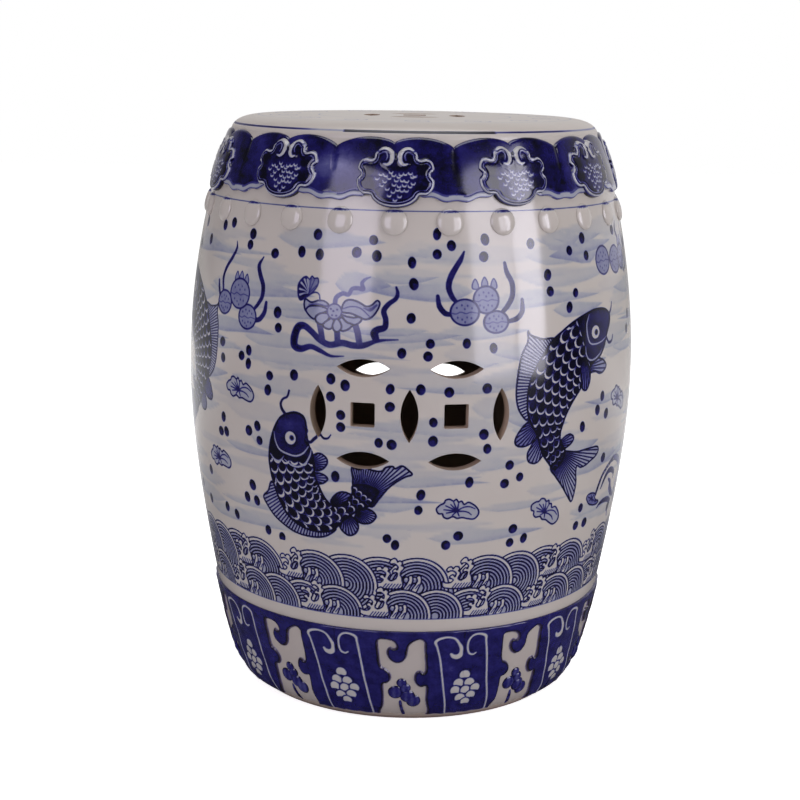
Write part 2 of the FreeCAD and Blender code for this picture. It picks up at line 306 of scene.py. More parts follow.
# The painted field of the barrel, from the waves to the studs
# Koi, lotus, fruit, duckweed and drops of water over pale strokes of wash, painted twice, front
# and back. The sheet is that half turn, sampled finely enough for the brush's edges.


def smooth(points, closed=False, steps=6):
    """A smooth line through points: the Catmull-Rom cubic, each piece shared into equal steps."""
    p = np.asarray(points, float)
    if closed:
        p = np.vstack([p[-1], p, p[:2]])
    else:
        p = np.vstack([2 * p[0] - p[1], p, 2 * p[-1] - p[-2]])
    t = (np.arange(steps) / steps)[:, None, None]
    a, b, c, d = p[:-3], p[1:-2], p[2:-1], p[3:]
    line = 0.5 * (2 * b + (c - a) * t + (2 * a - 5 * b + 4 * c - d) * t**2 + (3 * b - a - 3 * c + d) * t**3)
    line = line.transpose(1, 0, 2).reshape(-1, p.shape[1])
    return line if closed else np.vstack([line, p[-2:-1]])


def to_path(x, y, path):
    """Distance from each sample to a line of points, the share of the line passed at the nearest
    point in point numbers, and the signed distance, positive to the line's left."""
    best = np.full(x.shape, 1e9)
    along, side = np.zeros(x.shape), np.ones(x.shape)
    for i in range(len(path) - 1):
        (x0, y0), (x1, y1) = path[i], path[i + 1]
        dx, dy = x1 - x0, y1 - y0
        t = np.clip(((x - x0) * dx + (y - y0) * dy) / max(dx * dx + dy * dy, 1e-9), 0, 1)
        d = np.hypot(x - x0 - t * dx, y - y0 - t * dy)
        near = d < best
        best = np.where(near, d, best)
        along = np.where(near, i + t, along)
        side = np.where(near, np.sign(dx * (y - y0) - dy * (x - x0)), side)
    return best, along, best * side


def inside(x, y, outline):
    """Signed distance to a closed outline, positive inside: the nearest edge, with the sign
    from how many edges a ray to the right crosses."""
    ring = np.vstack([outline, outline[:1]])
    distance, _, _ = to_path(x, y, ring)
    odd = np.zeros(x.shape, bool)
    for (x0, y0), (x1, y1) in zip(ring[:-1], ring[1:]):
        if y0 != y1:
            odd ^= ((y0 > y) != (y1 > y)) & (x < (x1 - x0) * (y - y0) / (y1 - y0) + x0)
    return np.where(odd, distance, -distance)


class Patch:
    """A piece of painted surface in a motif's own millimetres, x to the right and y up.
    Paint goes on tone, the thickness of the cobalt at each sample: 0 is bare, 1 the darkest."""

    def __init__(self, x, y, tone):
        self.x, self.y, self.tone = x, y, tone

    def near(self, points, room):
        """The samples in the box round some points."""
        low, high = np.min(points, 0) - room, np.max(points, 0) + room
        return (self.x > low[0]) & (self.x < high[0]) & (self.y > low[1]) & (self.y < high[1])

    def lay(self, where, distance, density, soft=0.3):
        """Covers the samples where the distance is positive, with an edge twice soft wide."""
        cover = np.clip(0.5 + distance / (2 * soft), 0, 1)
        self.tone[where] += (density - self.tone[where]) * cover

    def fill(self, points, density, rim=None, rim_width=0.9):
        """A filled outline, with a darker or paler rim drawn along its edge."""
        outline = smooth(points, closed=True)
        where = self.near(outline, rim_width + 1)
        distance = inside(self.x[where], self.y[where], outline)
        self.lay(where, distance, density)
        if rim is not None:
            self.lay(where, rim_width / 2 - np.abs(distance), rim)
        return where, distance

    def stroke(self, points, widths, density, soft=0.3, curved=True):
        """A brush stroke along points, as wide at each as widths says."""
        path = smooth(points) if curved else np.asarray(points, float)
        where = self.near(path, np.max(widths) + 1)
        distance, along, _ = to_path(self.x[where], self.y[where], path)
        widths = np.broadcast_to(widths, len(points)) if np.ndim(widths) == 0 else widths
        stops = np.linspace(0, len(path) - 1, len(widths))
        self.lay(where, np.interp(along, stops, widths) / 2 - distance, density, soft)

    def oval(self, x, y, across, up, density, rim=None, rim_width=0.9, soft=0.3):
        """A filled oval with its own half axes."""
        where = self.near([(x - across, y - up), (x + across, y + up)], rim_width + 1)
        reach = np.hypot((self.x[where] - x) / across, (self.y[where] - y) / up)
        distance = (1 - reach) * min(across, up)
        self.lay(where, distance, density, soft)
        if rim is not None:
            self.lay(where, rim_width / 2 - np.abs(distance), rim, soft)


field_bottom, field_top, sheet_pitch = 147.5, 401.0, 0.5
sheet_columns = int(round(math.pi * belly_radius / sheet_pitch))
sheet_rows = int(round((field_top - field_bottom) / sheet_pitch)) + 1
sheet_height = np.linspace(field_bottom, field_top, sheet_rows)
sheet = np.zeros((sheet_rows, sheet_columns))
chance = np.random.default_rng(11)


def paint_at(azimuth, height, reach, motif, *sizes, turn=0.0, size=1.0, mirror=1):
    """Lets a motif paint its patch of the sheet: x and y are the arc and the height from its
    centre, turned, scaled and mirrored. The sheet joins itself at its sides. What follows the
    motif goes on to it."""
    per_degree = math.pi / 180 * float(radius_at(height))
    centre = (azimuth + 90) / 180 * sheet_columns
    half = reach * size / (per_degree * 180 / sheet_columns)
    columns = np.arange(int(centre - half), int(centre + half) + 1)
    rows = np.flatnonzero(np.abs(sheet_height - height) < reach * size)
    z = sheet_height[rows][:, None]
    x = (columns - centre)[None, :] * math.pi / sheet_columns * radius_at(z)
    y = np.broadcast_to(z - height, x.shape)
    c, s = math.cos(math.radians(turn)), math.sin(math.radians(turn))
    across, up = (c * x + s * y) / size * mirror, (c * y - s * x) / size
    index = np.ix_(rows, columns % sheet_columns)
    patch = Patch(across, up, sheet[index])
    motif(patch, *sizes)
    sheet[index] = patch.tone


def water(patch, length, thick, bend, density):
    """One long stroke of wash: faint where the brush lands, darker along its lower edge and
    pointed where it lifts off."""
    path = smooth([(-length / 2, -bend), (-length / 6, 0), (length / 6, bend / 3), (length / 2, -bend)])
    where = patch.near(path, thick)
    distance, along, side = to_path(patch.x[where], patch.y[where], path)
    share = along / (len(path) - 1)
    half = thick / 2 * np.clip(np.minimum(share * 5, (1.02 - share) * 1.6), 0.03, 1) ** 0.7
    cover = np.clip((half - distance) / 1.1, 0, 1)
    edge = np.exp(-(((side + half * 0.8) / (0.16 * thick)) ** 2))
    old = patch.tone[where]
    patch.tone[where] = np.maximum(old, cover * density * (0.5 + 0.5 * share + 0.45 * edge))


washes, wash_reach, shoulder_height = 170, 66, 398.6
for index in range(washes):
    length, bend = chance.uniform(40, 130), chance.uniform(-1.8, 1.8)
    thick, density = chance.uniform(5, 18), chance.uniform(0.06, 0.25)
    paint_at(
        chance.uniform(-90, 90), chance.uniform(152, 386), wash_reach, water, length, thick, bend, density,
        mirror=chance.choice((1, 1, -1)),
    )
shoulder_line = np.abs(sheet_height - shoulder_height)
sheet = np.maximum(sheet, (0.72 * np.clip(1.05 - shoulder_line / 0.6, 0, 1))[:, None])


def lotus(patch):
    """A lotus seen from the side, its pod, bud and ribbons."""
    ribbon = [(2, -31.5), (-8, -32), (-16, -29), (-24, -26.5), (-32, -28.8), (-37.5, -27), (-37.8, -20.5),
              (-35, -13.5), (-30, -12), (-24, -15.5), (-17, -21), (-9, -24), (0, -22), (8, -23.3), (16, -23),
              (24, -20), (31, -18.6), (41, -18)]
    patch.stroke(ribbon, (0.6, 2, 3.4, 4, 5, 6, 6.5, 6, 5, 4.6, 4.6, 4.6, 4.6, 4.8, 4.4, 3, 1.8, 0.8), 0.74)
    patch.stroke(ribbon[4:9], (1.5, 3, 4, 4, 1.5), 0.9)
    side = [
        (25, -18), (23.8, -14), (26, -11.3), (31, -9.5), (31.5, -4), (29.8, 2), (33, 7), (38, 11), (39, 15),
        (37.8, 19),
    ]
    patch.stroke(side, (5, 6, 5, 4.4, 4, 4, 3.6, 3.2, 2.6, 1.4), 0.84)
    stems = (
        [(-18, -8), (-16.5, -14), (-15, -21)], [(-4, -12.5), (-3.2, -21)],
        [(9, -7), (11.5, -14), (13, -21)],
    )
    for leg in stems:
        patch.stroke(leg, 4.6, 0.68, curved=len(leg) > 2)
    patch.stroke(
        [
            (-6.5, 5), (-5.5, 10), (-1, 13), (3.5, 12.6), (6, 16.6), (10, 17.4), (14, 17), (13, 21),
            (15.5, 24), (19, 25.5),
        ],
        (3.8, 3.6, 3.2, 3.2, 3, 3, 3.4, 2.8, 2, 0.8), 0.52,
    )
    petals = (
        [(-11, 3.5), (-14, 6.5), (-19, 7), (-25, 5.3), (-30, 7.2), (-30.6, 2), (-28, -1.5), (-20, 3)],
        [(-11.5, 1), (-18, 3), (-26, 2.5), (-29, -0.5), (-26.5, -4), (-22, -6.5), (-18, -3), (-14, -1)],
        [(-1, -2), (3, -3), (8, -3.5), (13, -3), (13.8, -5.5), (10, -8.5), (6, -8.3), (2, -6)],
        [(-10.5, -2), (-17, -2), (-21, -5), (-20, -8.5), (-15, -9.8), (-11, -6)],
        [(-1, -4), (3, -7), (7.5, -8.7), (4.5, -12), (0, -13.5), (-3, -11), (-4, -7)],
        [(-8, -5), (-12, -7), (-15, -10), (-13, -12.3), (-9, -12.6), (-6.5, -9)],
        [(-5, -5), (-2, -7), (-0.6, -11), (-3, -14.2), (-6, -13.7), (-7.5, -10)],
        [
            (-1, 3), (1, 7.5), (5, 9), (11, 7.7), (17, 4.8), (21, 6), (24.5, 9.2), (26.7, 7.5), (25.5, 3),
            (22, -2), (17, -4.4), (12, -2.8), (6, -0.8), (-1, 0),
        ],
    )
    for petal in petals:
        patch.fill(petal, 0.27, rim=1.02, rim_width=1.15)
    patch.stroke([(-1, 2), (6, 4.2), (13, 3.2), (19.5, -2)], (0.5, 0.9, 0.9, 0.7), 0.7)
    patch.stroke([(15, 3.6), (20, 2.6), (24.5, 6)], (0.6, 2.6, 1.5), 0.62)
    patch.stroke([(-12, 3.2), (-19, 4.4), (-27, 3.6)], (0.7, 0.8, 0.5), 0.66)
    patch.oval(-6.5, 0, 5.5, 5.4, 0.28, rim=0.74, rim_width=1.0)
    for seed in ((-9.4, 1.7), (-4.5, 1.4), (-7.3, 0.2), (-8.2, -2.8), (-5, -2.9)):
        patch.oval(*seed, 0.75, 0.65, 0.75)
    bud = [(-36.5, 11), (-36.5, 17), (-33.5, 21.6), (-30, 23.3), (-27.6, 21.5), (-25.5, 23.8), (-23.5, 22.4),
           (-20.6, 22.6), (-20.3, 18.5), (-22.5, 14.5), (-26, 11), (-30, 8), (-34.5, 6.2)]
    patch.fill(bud, 0.4, rim=0.82, rim_width=0.9)
    patch.fill(
        [
            (-36.5, 11), (-36.5, 17), (-33.5, 21.6), (-30, 23), (-28.5, 18), (-27, 11), (-31, 8),
            (-34.5, 6.2),
        ],
        0.86,
    )
    for tip in ((-34, 18.5), (-31.5, 21), (-29, 21), (-35, 14), (-34.6, 10)):
        patch.stroke([(-27.5, 11.5), ((tip[0] - 27.5) / 2, (tip[1] + 12.5) / 2), tip], (0.4, 0.9, 1.7), 0.22)
    for tip in ((-26, 22.4), (-23.4, 21.2), (-21, 18)):
        patch.stroke([(-27.5, 11.5), tip], (0.6, 0.6), 0.72, curved=False)
    patch.stroke([(-26, 11), (-22, 12.6), (-19, 11.2), (-18.2, 7)], 1.1, 0.72)


def draw_fruit(patch, leaves, bumps, rounds):
    """Round fruits with seeds and a crown, and the long leaves about them. A leaf is its points
    and widths, a bump its place, and a fruit its place and half axes."""
    for points, widths in leaves:
        patch.stroke(points, widths, 0.84)
    for x, y in bumps:
        patch.fill(
            [(x - 2, y - 3.4), (x - 2.1, y), (x, y + 3.4), (x + 2.1, y), (x + 2, y - 3.4)], 0.34, rim=0.76,
            rim_width=0.8,
        )
    for x, y, across, up in rounds:
        patch.oval(x, y, across, up, 0.36, rim=0.84, rim_width=1.25)
        line = [(-0.9, -0.05), (-0.6, -0.12), (-0.3, 0.02), (0.1, -0.1), (0.4, 0.0), (0.9, -0.08)]
        patch.stroke([(x + u * across, y + v * up) for u, v in line], 0.6, 0.66)
        seeds = (
            (-0.55, 0.35), (-0.2, 0.55), (0.2, 0.5), (0.5, 0.3), (0, 0.25), (-0.5, -0.4), (-0.2, -0.55),
            (0.15, -0.4), (0.45, -0.45), (0, -0.75),
        )
        for u, v in seeds:
            patch.oval(x + u * across, y + v * up, 0.6, 0.75, 0.66)


def fruit(patch):
    """Three fruits in a slanting row, the biggest in the middle."""
    leaves = (
        (
            [(-14, 31), (-13, 26), (-17, 19), (-23.5, 11), (-26.8, 3), (-25.3, -6)],
            (0.8, 2.4, 3, 3, 2.8, 2.4),
        ),
        (
            [(19, 22.5), (15.4, 16), (18, 9), (21.8, 2), (22, -6), (18.5, -12), (15, -16)],
            (1, 3.6, 4, 3.8, 3.6, 3, 2.6),
        ),
        ([(26.6, -10), (25.8, -17), (22, -22.3), (17.6, -24)], (2.6, 3.8, 4, 3.6)),
        ([(-33, 0), (-31.6, -6), (-29, -11)], (2.2, 2.8, 2.6)),
    )
    bumps = ((-8, 6), (-2.6, 6.6), (3.6, 5))
    draw_fruit(patch, leaves, bumps, ((-21.5, -15, 9.2, 8.8), (8, -22.5, 9.6, 9), (-3, -6.5, 11.4, 11)))


def fruit_pair(patch):
    """The other bunch: a wide fruit at the left, and leaves on both sides."""
    leaves = (
        ([(-13, 27), (-16, 21), (-22.5, 11), (-25, 3), (-23, -4), (-19, -9)], (1.4, 3.6, 4.4, 4.2, 3.8, 2.6)),
        ([(-33, -4), (-32, -11), (-28, -16), (-23, -17)], (2.6, 4, 4, 3)),
        ([(17.5, 18.5), (19, 12), (23, 4), (23, -5), (19, -12), (15, -16)], (2.4, 3.6, 4, 4, 3.8, 3)),
        ([(31, -8), (31, -16), (27, -21), (20, -23)], (2.6, 4, 4, 3)),
    )
    bumps = ((-5.5, 4.4), (1.6, 5.6), (8.6, 4.4))
    draw_fruit(patch, leaves, bumps, ((10, -23, 9.5, 7.8), (2.5, -7, 9.6, 9.6), (-13.6, -15.5, 10.6, 9.2)))


def fruit_row(patch):
    """The bunch at the side: fruits in a level row with their leaves beyond them."""
    leaves = (
        ([(52, 24), (50, 17), (54, 9), (57, 1), (54, -9), (47, -13)], (1.4, 3.4, 4, 4, 3.4, 2.6)),
        ([(36, 26), (33, 20), (37, 13)], (1, 3, 2.4)),
    )
    bumps = ((37, 11.5), (43, 11.8))
    draw_fruit(patch, leaves, bumps, ((0, 0, 11, 10.6), (23.5, -1.5, 11, 10.4), (41, -1, 9.4, 9.4)))


def duckweed(patch):
    """A floating leaf: a lobed outline with veins from its middle."""
    patch.fill(
        [
            (-15.5, 2), (-13, 5), (-10.2, 6.4), (-9, 8.8), (-6, 9.4), (-3.2, 8), (-1, 9.2), (0.8, 7),
            (3, 7.6), (5, 5), (8, 6.4), (11, 5.2), (14.5, 2.4), (16.6, -1.4), (15.6, -5), (12.6, -7),
            (8, -6.4), (4, -5.4), (0, -5.8), (-3, -4.3), (-7, -5.8), (-10, -4.4), (-11, -2), (-14, -1.6),
        ],
        0.2, rim=0.95, rim_width=1.15,
    )
    for tip in (
        (-10, 1.3), (-8, -1.4), (-8.8, 4.4), (-5, 5.2), (-3, 7.2), (0.8, 6.4), (1.6, -4), (-3.4, -3.2),
    ):
        patch.stroke([(0, 0), tip], (1.3, 0.8), 0.84, curved=False)
    patch.stroke([(0, 0), (4, 2.4), (9, 3), (13.6, 1)], (1.2, 0.9, 0.9, 0.6), 0.84)
    patch.stroke([(1, -0.3), (5, -0.5), (8.5, -1.6), (11, -3.6)], (1.2, 0.9, 0.9, 0.6), 0.84)


def drop(patch, across, up, light):
    """A drop of water: an oval dab, pooled darker round its edge and towards one side."""
    reach = np.hypot(patch.x / across, patch.y / up)
    distance = (1 - reach) * across
    pool = np.clip(1.1 - 0.1 * distance + 0.07 * (patch.x * light + patch.y), 0.76, 1.12)
    cover = np.clip(0.5 + distance / 0.6, 0, 1)
    patch.tone += (pool - patch.tone) * cover


def fin(patch, outline, root, rays, density):
    """A fin: a pale fan with a dark edge, and rays that spread from its root."""
    where, distance = patch.fill(outline, density)
    angle = np.arctan2(patch.y[where] - root[1], patch.x[where] - root[0])
    centre = np.mean(outline, 0) - root
    angle = (angle - math.atan2(centre[1], centre[0]) + np.pi) % (2 * np.pi) - np.pi
    reach = np.hypot(patch.x[where] - root[0], patch.y[where] - root[1])
    step = 2 * np.pi / rays
    off = np.abs((angle / step) % 1 - 0.5) * step * reach
    patch.lay(where, np.minimum(0.45 - off, distance - 0.3), 1.08)
    patch.lay(where, 0.62 - np.abs(distance), 1.08)


def scales(patch, outline, spine, start, pitch_along=7.0, pitch_across=7.8):
    """Overlapping scales in the body's own lengths: rows along the spine, every other row
    shifted by half a scale, and a pale crescent on the tail side of each."""
    where, distance = patch.fill(outline, 1.02, rim=1.12, rim_width=1.3)
    path = smooth(spine)
    lengths = np.concatenate([[0], np.cumsum(np.hypot(*np.diff(path, axis=0).T))])
    _, along, across = to_path(patch.x[where], patch.y[where], path)
    along = np.interp(along, np.arange(len(path)), lengths)
    shrink = np.interp(along, (0, lengths[-1] * 0.6, lengths[-1]), (1.0, 0.9, 0.55))
    row = np.floor(along / pitch_along)
    pale = np.full(across.shape, -9.0)
    for back in (0, 1):
        number = row - back
        centre = (number + 0.35) * pitch_along
        column = across / (pitch_across * shrink) + 0.5 * (number % 2)
        sideways = (column - np.round(column)) * pitch_across * shrink
        ahead = along - centre
        reach = np.hypot(sideways, ahead * 0.92)
        turn = np.arctan2(np.abs(sideways), ahead)
        thick = 1.55 * np.clip(np.cos(turn * 0.85), 0, 1) * shrink
        pale = np.maximum(pale, thick / 2 - np.abs(reach - 0.45 * pitch_across * shrink))
    patch.lay(where, np.minimum(np.minimum(pale, distance - 1.0), along - start), 0.04, 0.3)


def eye(patch, place, socket, white, look, halo, pupil):
    """A fish's eye: a dark socket with a white in it, and a pupil with a grey halo where it looks."""
    patch.oval(*place, *socket, 0.95)
    patch.oval(*place, *white, 0.06)
    patch.oval(*look, *halo, 0.5)
    patch.oval(*look, *pupil, 1.0)


def koi(patch):
    """A carp with its head up, its tail swept to the right."""
    body = [
        (-36, 38), (-42, 34), (-47, 26), (-51, 14), (-52.5, 2), (-51, -10), (-48, -20), (-43, -32),
        (-36, -41.5), (-26, -47.5), (-14, -50), (-2, -48.5), (5, -43), (12, -36), (22, -29), (29, -25.5),
        (34, -18), (36, -13), (27, -9.5), (17.5, -10.5), (16.5, -17), (12, -23.5), (6, -27.5), (0, -27),
        (-5, -22), (-9, -14), (-12, -6), (-13, 4), (-14, 12), (-16.5, 17), (-18, 24), (-18.5, 30),
        (-19.5, 35.5), (-22, 39.5), (-29, 40.8),
    ]
    tail = [
        (18.5, -14), (17.4, -4), (17, 3.2), (22, 2.2), (27, 3.6), (33, 2.2), (39, 2), (42, 5), (47, 6),
        (49, 4.4), (54, 6.6), (59, 3), (61, 0), (55, -2.4), (45, -9.5), (37, -19), (30, -26),
    ]
    fins = (
        (
            [
                (-50, -16), (-55, -24), (-60, -29.5), (-56, -36.5), (-49, -44), (-38, -50.5), (-28, -54),
                (-15, -54.8), (-5, -52.5), (3, -46), (-4, -44), (-20, -44), (-38, -34),
            ],
            (-6, -2), 138, 0.26,
        ),
        (tail, (24, -22), 84, 0.24),
        ([(-17, 3), (-14, 9), (-8.5, 12), (-3, 9.5), (-2, 5), (-6, 0), (-12, -1.5)], (-18, 2), 44, 0.3),
        (
            [(-18, -7), (-13, -3.6), (-6, -3.8), (-2, -7), (-6, -11), (-13, -12), (-17, -10.5)], (-20, -8),
            44, 0.34,
        ),
        (
            [(0, -25.5), (2.5, -20), (8, -16.2), (14, -16.8), (17, -20), (14, -26), (6, -29)], (0, -28), 44,
            0.45,
        ),
        (
            [(5.5, -39), (7, -45.5), (12.5, -50), (18, -48), (20.5, -42), (17.5, -36), (11, -33.5)],
            (11, -31), 44, 0.36,
        ),
        (
            [(18, -36), (23, -39.6), (30, -38.6), (34, -33.5), (31.5, -29.4), (26, -27.6), (21, -30)],
            (19, -30), 44, 0.36,
        ),
    )
    for outline, root, rays, density in fins:
        fin(patch, outline, root, rays, density)
    spine = [
        (-33, 14), (-33, 0), (-31, -13), (-25.5, -24), (-17, -31.5), (-6, -36), (4, -36.5), (13, -31),
        (21, -24.5), (28, -16),
    ]
    scales(patch, body, spine, 11)
    head = [
        (-36, 38.5), (-42, 34), (-46.5, 26), (-47, 20), (-44, 13), (-37, 9), (-29, 8.3), (-22, 11),
        (-17.5, 16.5), (-19.5, 20), (-18.6, 26), (-18.6, 32), (-20.5, 37.8), (-27, 40.6),
    ]
    patch.fill(head, 0.86, rim=1.08, rim_width=1.4)
    patch.oval(-33, 30, 8, 5, 0.72, soft=3)
    patch.stroke(
        [(-47, 24), (-46, 17), (-42.5, 11), (-36, 8.4), (-28, 7.6), (-21.5, 10.5), (-17, 16)],
        (0.5, 1.1, 1.4, 1.6, 1.5, 1.4, 0.8), 0.2,
    )
    patch.stroke(
        [(-38, 3.6), (-32, 0), (-26, -0.6), (-20, 2.6), (-16, 9), (-14.6, 14)],
        (0.6, 1.4, 1.6, 1.5, 1.3, 0.7), 0.2,
    )
    patch.stroke([(-51, 6), (-47, 2), (-42, 2), (-38.5, 6)], (0.6, 1.5, 1.5, 0.5), 0.24)
    eye(patch, (-32.2, 20.8), (6.2, 6.3), (4.7, 5.0), (-31, 21), (2.3, 2.3), (1.5, 1.5))
    strokes = (
        (
            [(-36.5, 38.6), (-39.4, 42), (-40.4, 46), (-38.4, 49.6), (-34.6, 51.8), (-33, 56.4)],
            (2.6, 2.4, 2.0, 1.7, 1.6, 1.6), 0.92,
        ),
        ([(-19, 21.5), (-15.5, 19.6), (-12, 22.6), (-8, 26)], (2.2, 2.2, 2.4, 2), 0.92),
        ([(-7, 26.4), (-4.4, 23.8), (-1, 24.2), (1.2, 27)], (1.6, 1.7, 1.5, 0.7), 0.92),
        ([(-18.6, 31), (-17.4, 28), (-19, 24)], (0.8, 1, 0.8), 0.8),
    )
    for points, widths, density in strokes:
        patch.stroke(points, widths, density)


def leaping_koi(patch):
    """A carp with its head up to the right and its tail below."""
    fins = (
        (
            [
                (-8, 50), (-19, 51), (-29, 54.5), (-31.6, 57.5), (-32, 50), (-37, 41), (-40, 30), (-42, 15),
                (-41, 5), (-38, -2), (-32, -8), (-28, -2), (-24, 20), (-16, 38),
            ],
            (10, 15), 128, 0.2,
        ),
        (
            [
                (-26, -8), (-34, -11.5), (-39.5, -18), (-41.4, -23.5), (-39, -27), (-33, -27.8),
                (-27, -25.6), (-21, -19),
            ],
            (-17, -8), 58, 0.42,
        ),
        (
            [
                (-21, -21), (-26.6, -27.5), (-29.8, -34), (-28.4, -39.8), (-23, -42), (-18.4, -40),
                (-15, -33),
            ],
            (-15, -18), 50, 0.34,
        ),
        (
            [(0, -29), (5, -25), (10.5, -23.8), (15, -26.8), (13.4, -30.6), (7.4, -33.8), (0, -35)],
            (-4, -31), 40, 0.4,
        ),
        (
            [
                (2, -35), (8, -36.6), (20, -39), (35, -39), (47, -39.6), (50, -43), (46.4, -47.2),
                (40, -49.6), (33.4, -52), (27, -52.6), (22.4, -50.6), (21.6, -56), (23.2, -63), (23, -71),
                (20.6, -79), (14.4, -73), (7, -64), (-0.6, -55.6), (-7, -47),
            ],
            (-5, -34), 96, 0.24,
        ),
        (
            [
                (28, 27), (38, 30.5), (46, 29.4), (52, 26.4), (54.2, 22.6), (50, 19), (44, 18.4),
                (38, 20.6), (28, 21),
            ],
            (24, 25), 46, 0.32,
        ),
    )
    for outline, root, rays, density in fins:
        fin(patch, outline, root, rays, density)
    body = [
        (57, 64.6), (50, 67), (40, 67.5), (30, 66), (20, 63.5), (10, 60), (0, 55), (-10, 49), (-18, 40),
        (-26, 29), (-31, 18), (-32.4, 8), (-31.4, -4), (-27, -13), (-22, -21), (-19, -29), (-15, -37),
        (-10, -43), (-3, -49.5), (4, -44), (6.5, -36), (1.6, -30), (0, -22), (2, -15), (5, -8), (9, -2),
        (14, 4), (20, 10), (26, 17), (32, 26), (40, 29.5), (46.5, 33), (51.5, 39), (55, 46), (60, 54),
        (61.5, 60),
    ]
    spine = [(30, 46), (17, 40), (4, 29), (-6, 14), (-12, -2), (-14, -16), (-11, -28), (-4, -38), (2, -46)]
    scales(patch, body, spine, 7, 8.0, 8.8)
    fin(
        patch,
        [(22, 10), (24.4, 8), (28, 8.6), (31, 14), (31.4, 20), (28.6, 28), (24, 33), (20, 27), (20.6, 17)],
        (25, 37), 62, 0.5,
    )
    head = [
        (57, 64.6), (50, 66.6), (40, 67), (31.5, 65.6), (27, 58), (25, 50), (24.6, 40), (27.6, 33),
        (33, 28.6), (40, 29.6), (46.5, 33), (51.5, 39), (55, 46), (60, 54), (61.5, 60),
    ]
    patch.fill(head, 0.86, rim=1.08, rim_width=1.4)
    patch.stroke(
        [(31, 64.4), (27.6, 57), (28.6, 48), (32, 42.6), (40, 41.4), (48, 42.6), (54, 45)],
        (0.6, 1.4, 1.5, 1.4, 1.4, 1.1, 0.6), 0.22,
    )
    patch.stroke(
        [(25.6, 41), (26.6, 34.6), (30.6, 30.4), (37, 30.2), (43.6, 33), (48, 36.6)],
        (0.6, 1.3, 1.5, 1.4, 1.1, 0.5), 0.22,
    )
    eye(patch, (39, 50.4), (6.6, 6.4), (5.4, 5.0), (39.8, 50.2), (2.6, 2.5), (1.8, 1.8))
    patch.stroke([(60, 61), (64, 65), (66, 70)], (2, 1.6, 0.8), 0.9)
    patch.stroke([(55, 44), (59, 40), (64, 41), (66, 45)], (2, 2, 1.6, 0.8), 0.9)


def curled_leaf(patch):
    """A rolled lotus leaf at the side: a veined knot, a band of rungs that rises from it, the
    hanging edge of the leaf and a hook below."""
    outer = [(7, 29.5), (14.3, 30.6), (26, 27.4), (36, 20.5), (39, 13.4), (35, 7.5), (33.5, 1.7), (31, -3.5)]
    patch.stroke(outer, (2.6, 4.2, 5.4, 5.4, 5.0, 4.8, 4.6, 2.6), 0.98)
    patch.stroke(outer, (1.2, 2.8, 4.0, 4.0, 3.6, 3.4, 3.2, 1.2), 0.5)
    rungs = smooth(
        [(-14.9, 6.9), (-13.1, 11.4), (-10.5, 16.6), (-6.7, 21.5), (-0.3, 25.8), (7.3, 29), (13.2, 29.7)]
    )
    patch.stroke(rungs, 3.2, 1.0, curved=False)
    patch.stroke(rungs, 1.7, 0.1, curved=False)
    for low, high in zip(rungs[:-1:3], rungs[1::3]):
        patch.stroke([low, (low + high) / 2], 2.2, 0.95, curved=False)
    inner = [(-7, 9.6), (-4, 14.3), (0.2, 19.1), (5.9, 21.7), (13, 20.8), (19.6, 17), (20, 12.8)]
    strokes = (
        (inner, (1.2, 3, 4.2, 4.8, 4.6, 3.6, 1.4), 0.84),
        ([(7.2, 14.5), (12.8, 10.8), (14.6, 6), (20, 1), (29, -4.6)], (1.6, 4, 5.5, 5.5, 2.4), 0.7),
        (
            [(-8.2, -5.9), (-4.2, -3.7), (3.7, -2.8), (14, -4.2), (22.6, -8), (22, -11)],
            (1.4, 2.8, 4, 4.6, 4, 1.6), 0.84,
        ),
        ([(19.3, -9.9), (20, -15.2), (22.7, -21.1), (31, -28)], (2.2, 2, 1.8, 1.4), 0.6),
    )
    for points, widths, density in strokes:
        patch.stroke(points, widths, density)
    knot = [
        (-28.8, 5.8), (-28.1, 8.6), (-24.6, 9.4), (-19.7, 8.8), (-14.9, 6.9), (-15.4, 4.4), (-13.1, 1.9),
        (-7.6, -0.6), (-10.7, -2.2), (-17.9, -1.4), (-24.3, 1.1),
    ]
    patch.fill(knot, 0.44, rim=1.0, rim_width=1.2)
    for tip in ((-26.4, 6.8), (-24, 3.4), (-21.6, 7.4), (-18.2, 1), (-17.4, 6.6), (-12.4, 0)):
        patch.stroke([(-20.6, 4.2), tip], (1.2, 0.8), 0.9, curved=False)


paint_at(-16.1, 326.6, 46, lotus)
paint_at(-45.9, 338.0, 40, fruit)
paint_at(17.0, 343.7, 40, fruit_pair)
paint_at(57.4, 357.6, 62, fruit_row)
paint_at(61.7, 167.9, 46, curled_leaf)
paint_at(11.9, 181.0, 20, duckweed)
paint_at(36.3, 172.4, 20, duckweed, turn=-22)
paint_at(-45.3, 259.4, 20, duckweed)
paint_at(-55.5, 200.0, 20, duckweed, turn=8)
paint_at(64.0, 248.0, 20, duckweed, turn=-15)
paint_at(-18.8, 209.6, 64, koi)
paint_at(38.7, 255.1, 84, leaping_koi)
paint_at(-67.8, 275.0, 84, leaping_koi, turn=-10, size=0.9, mirror=-1)

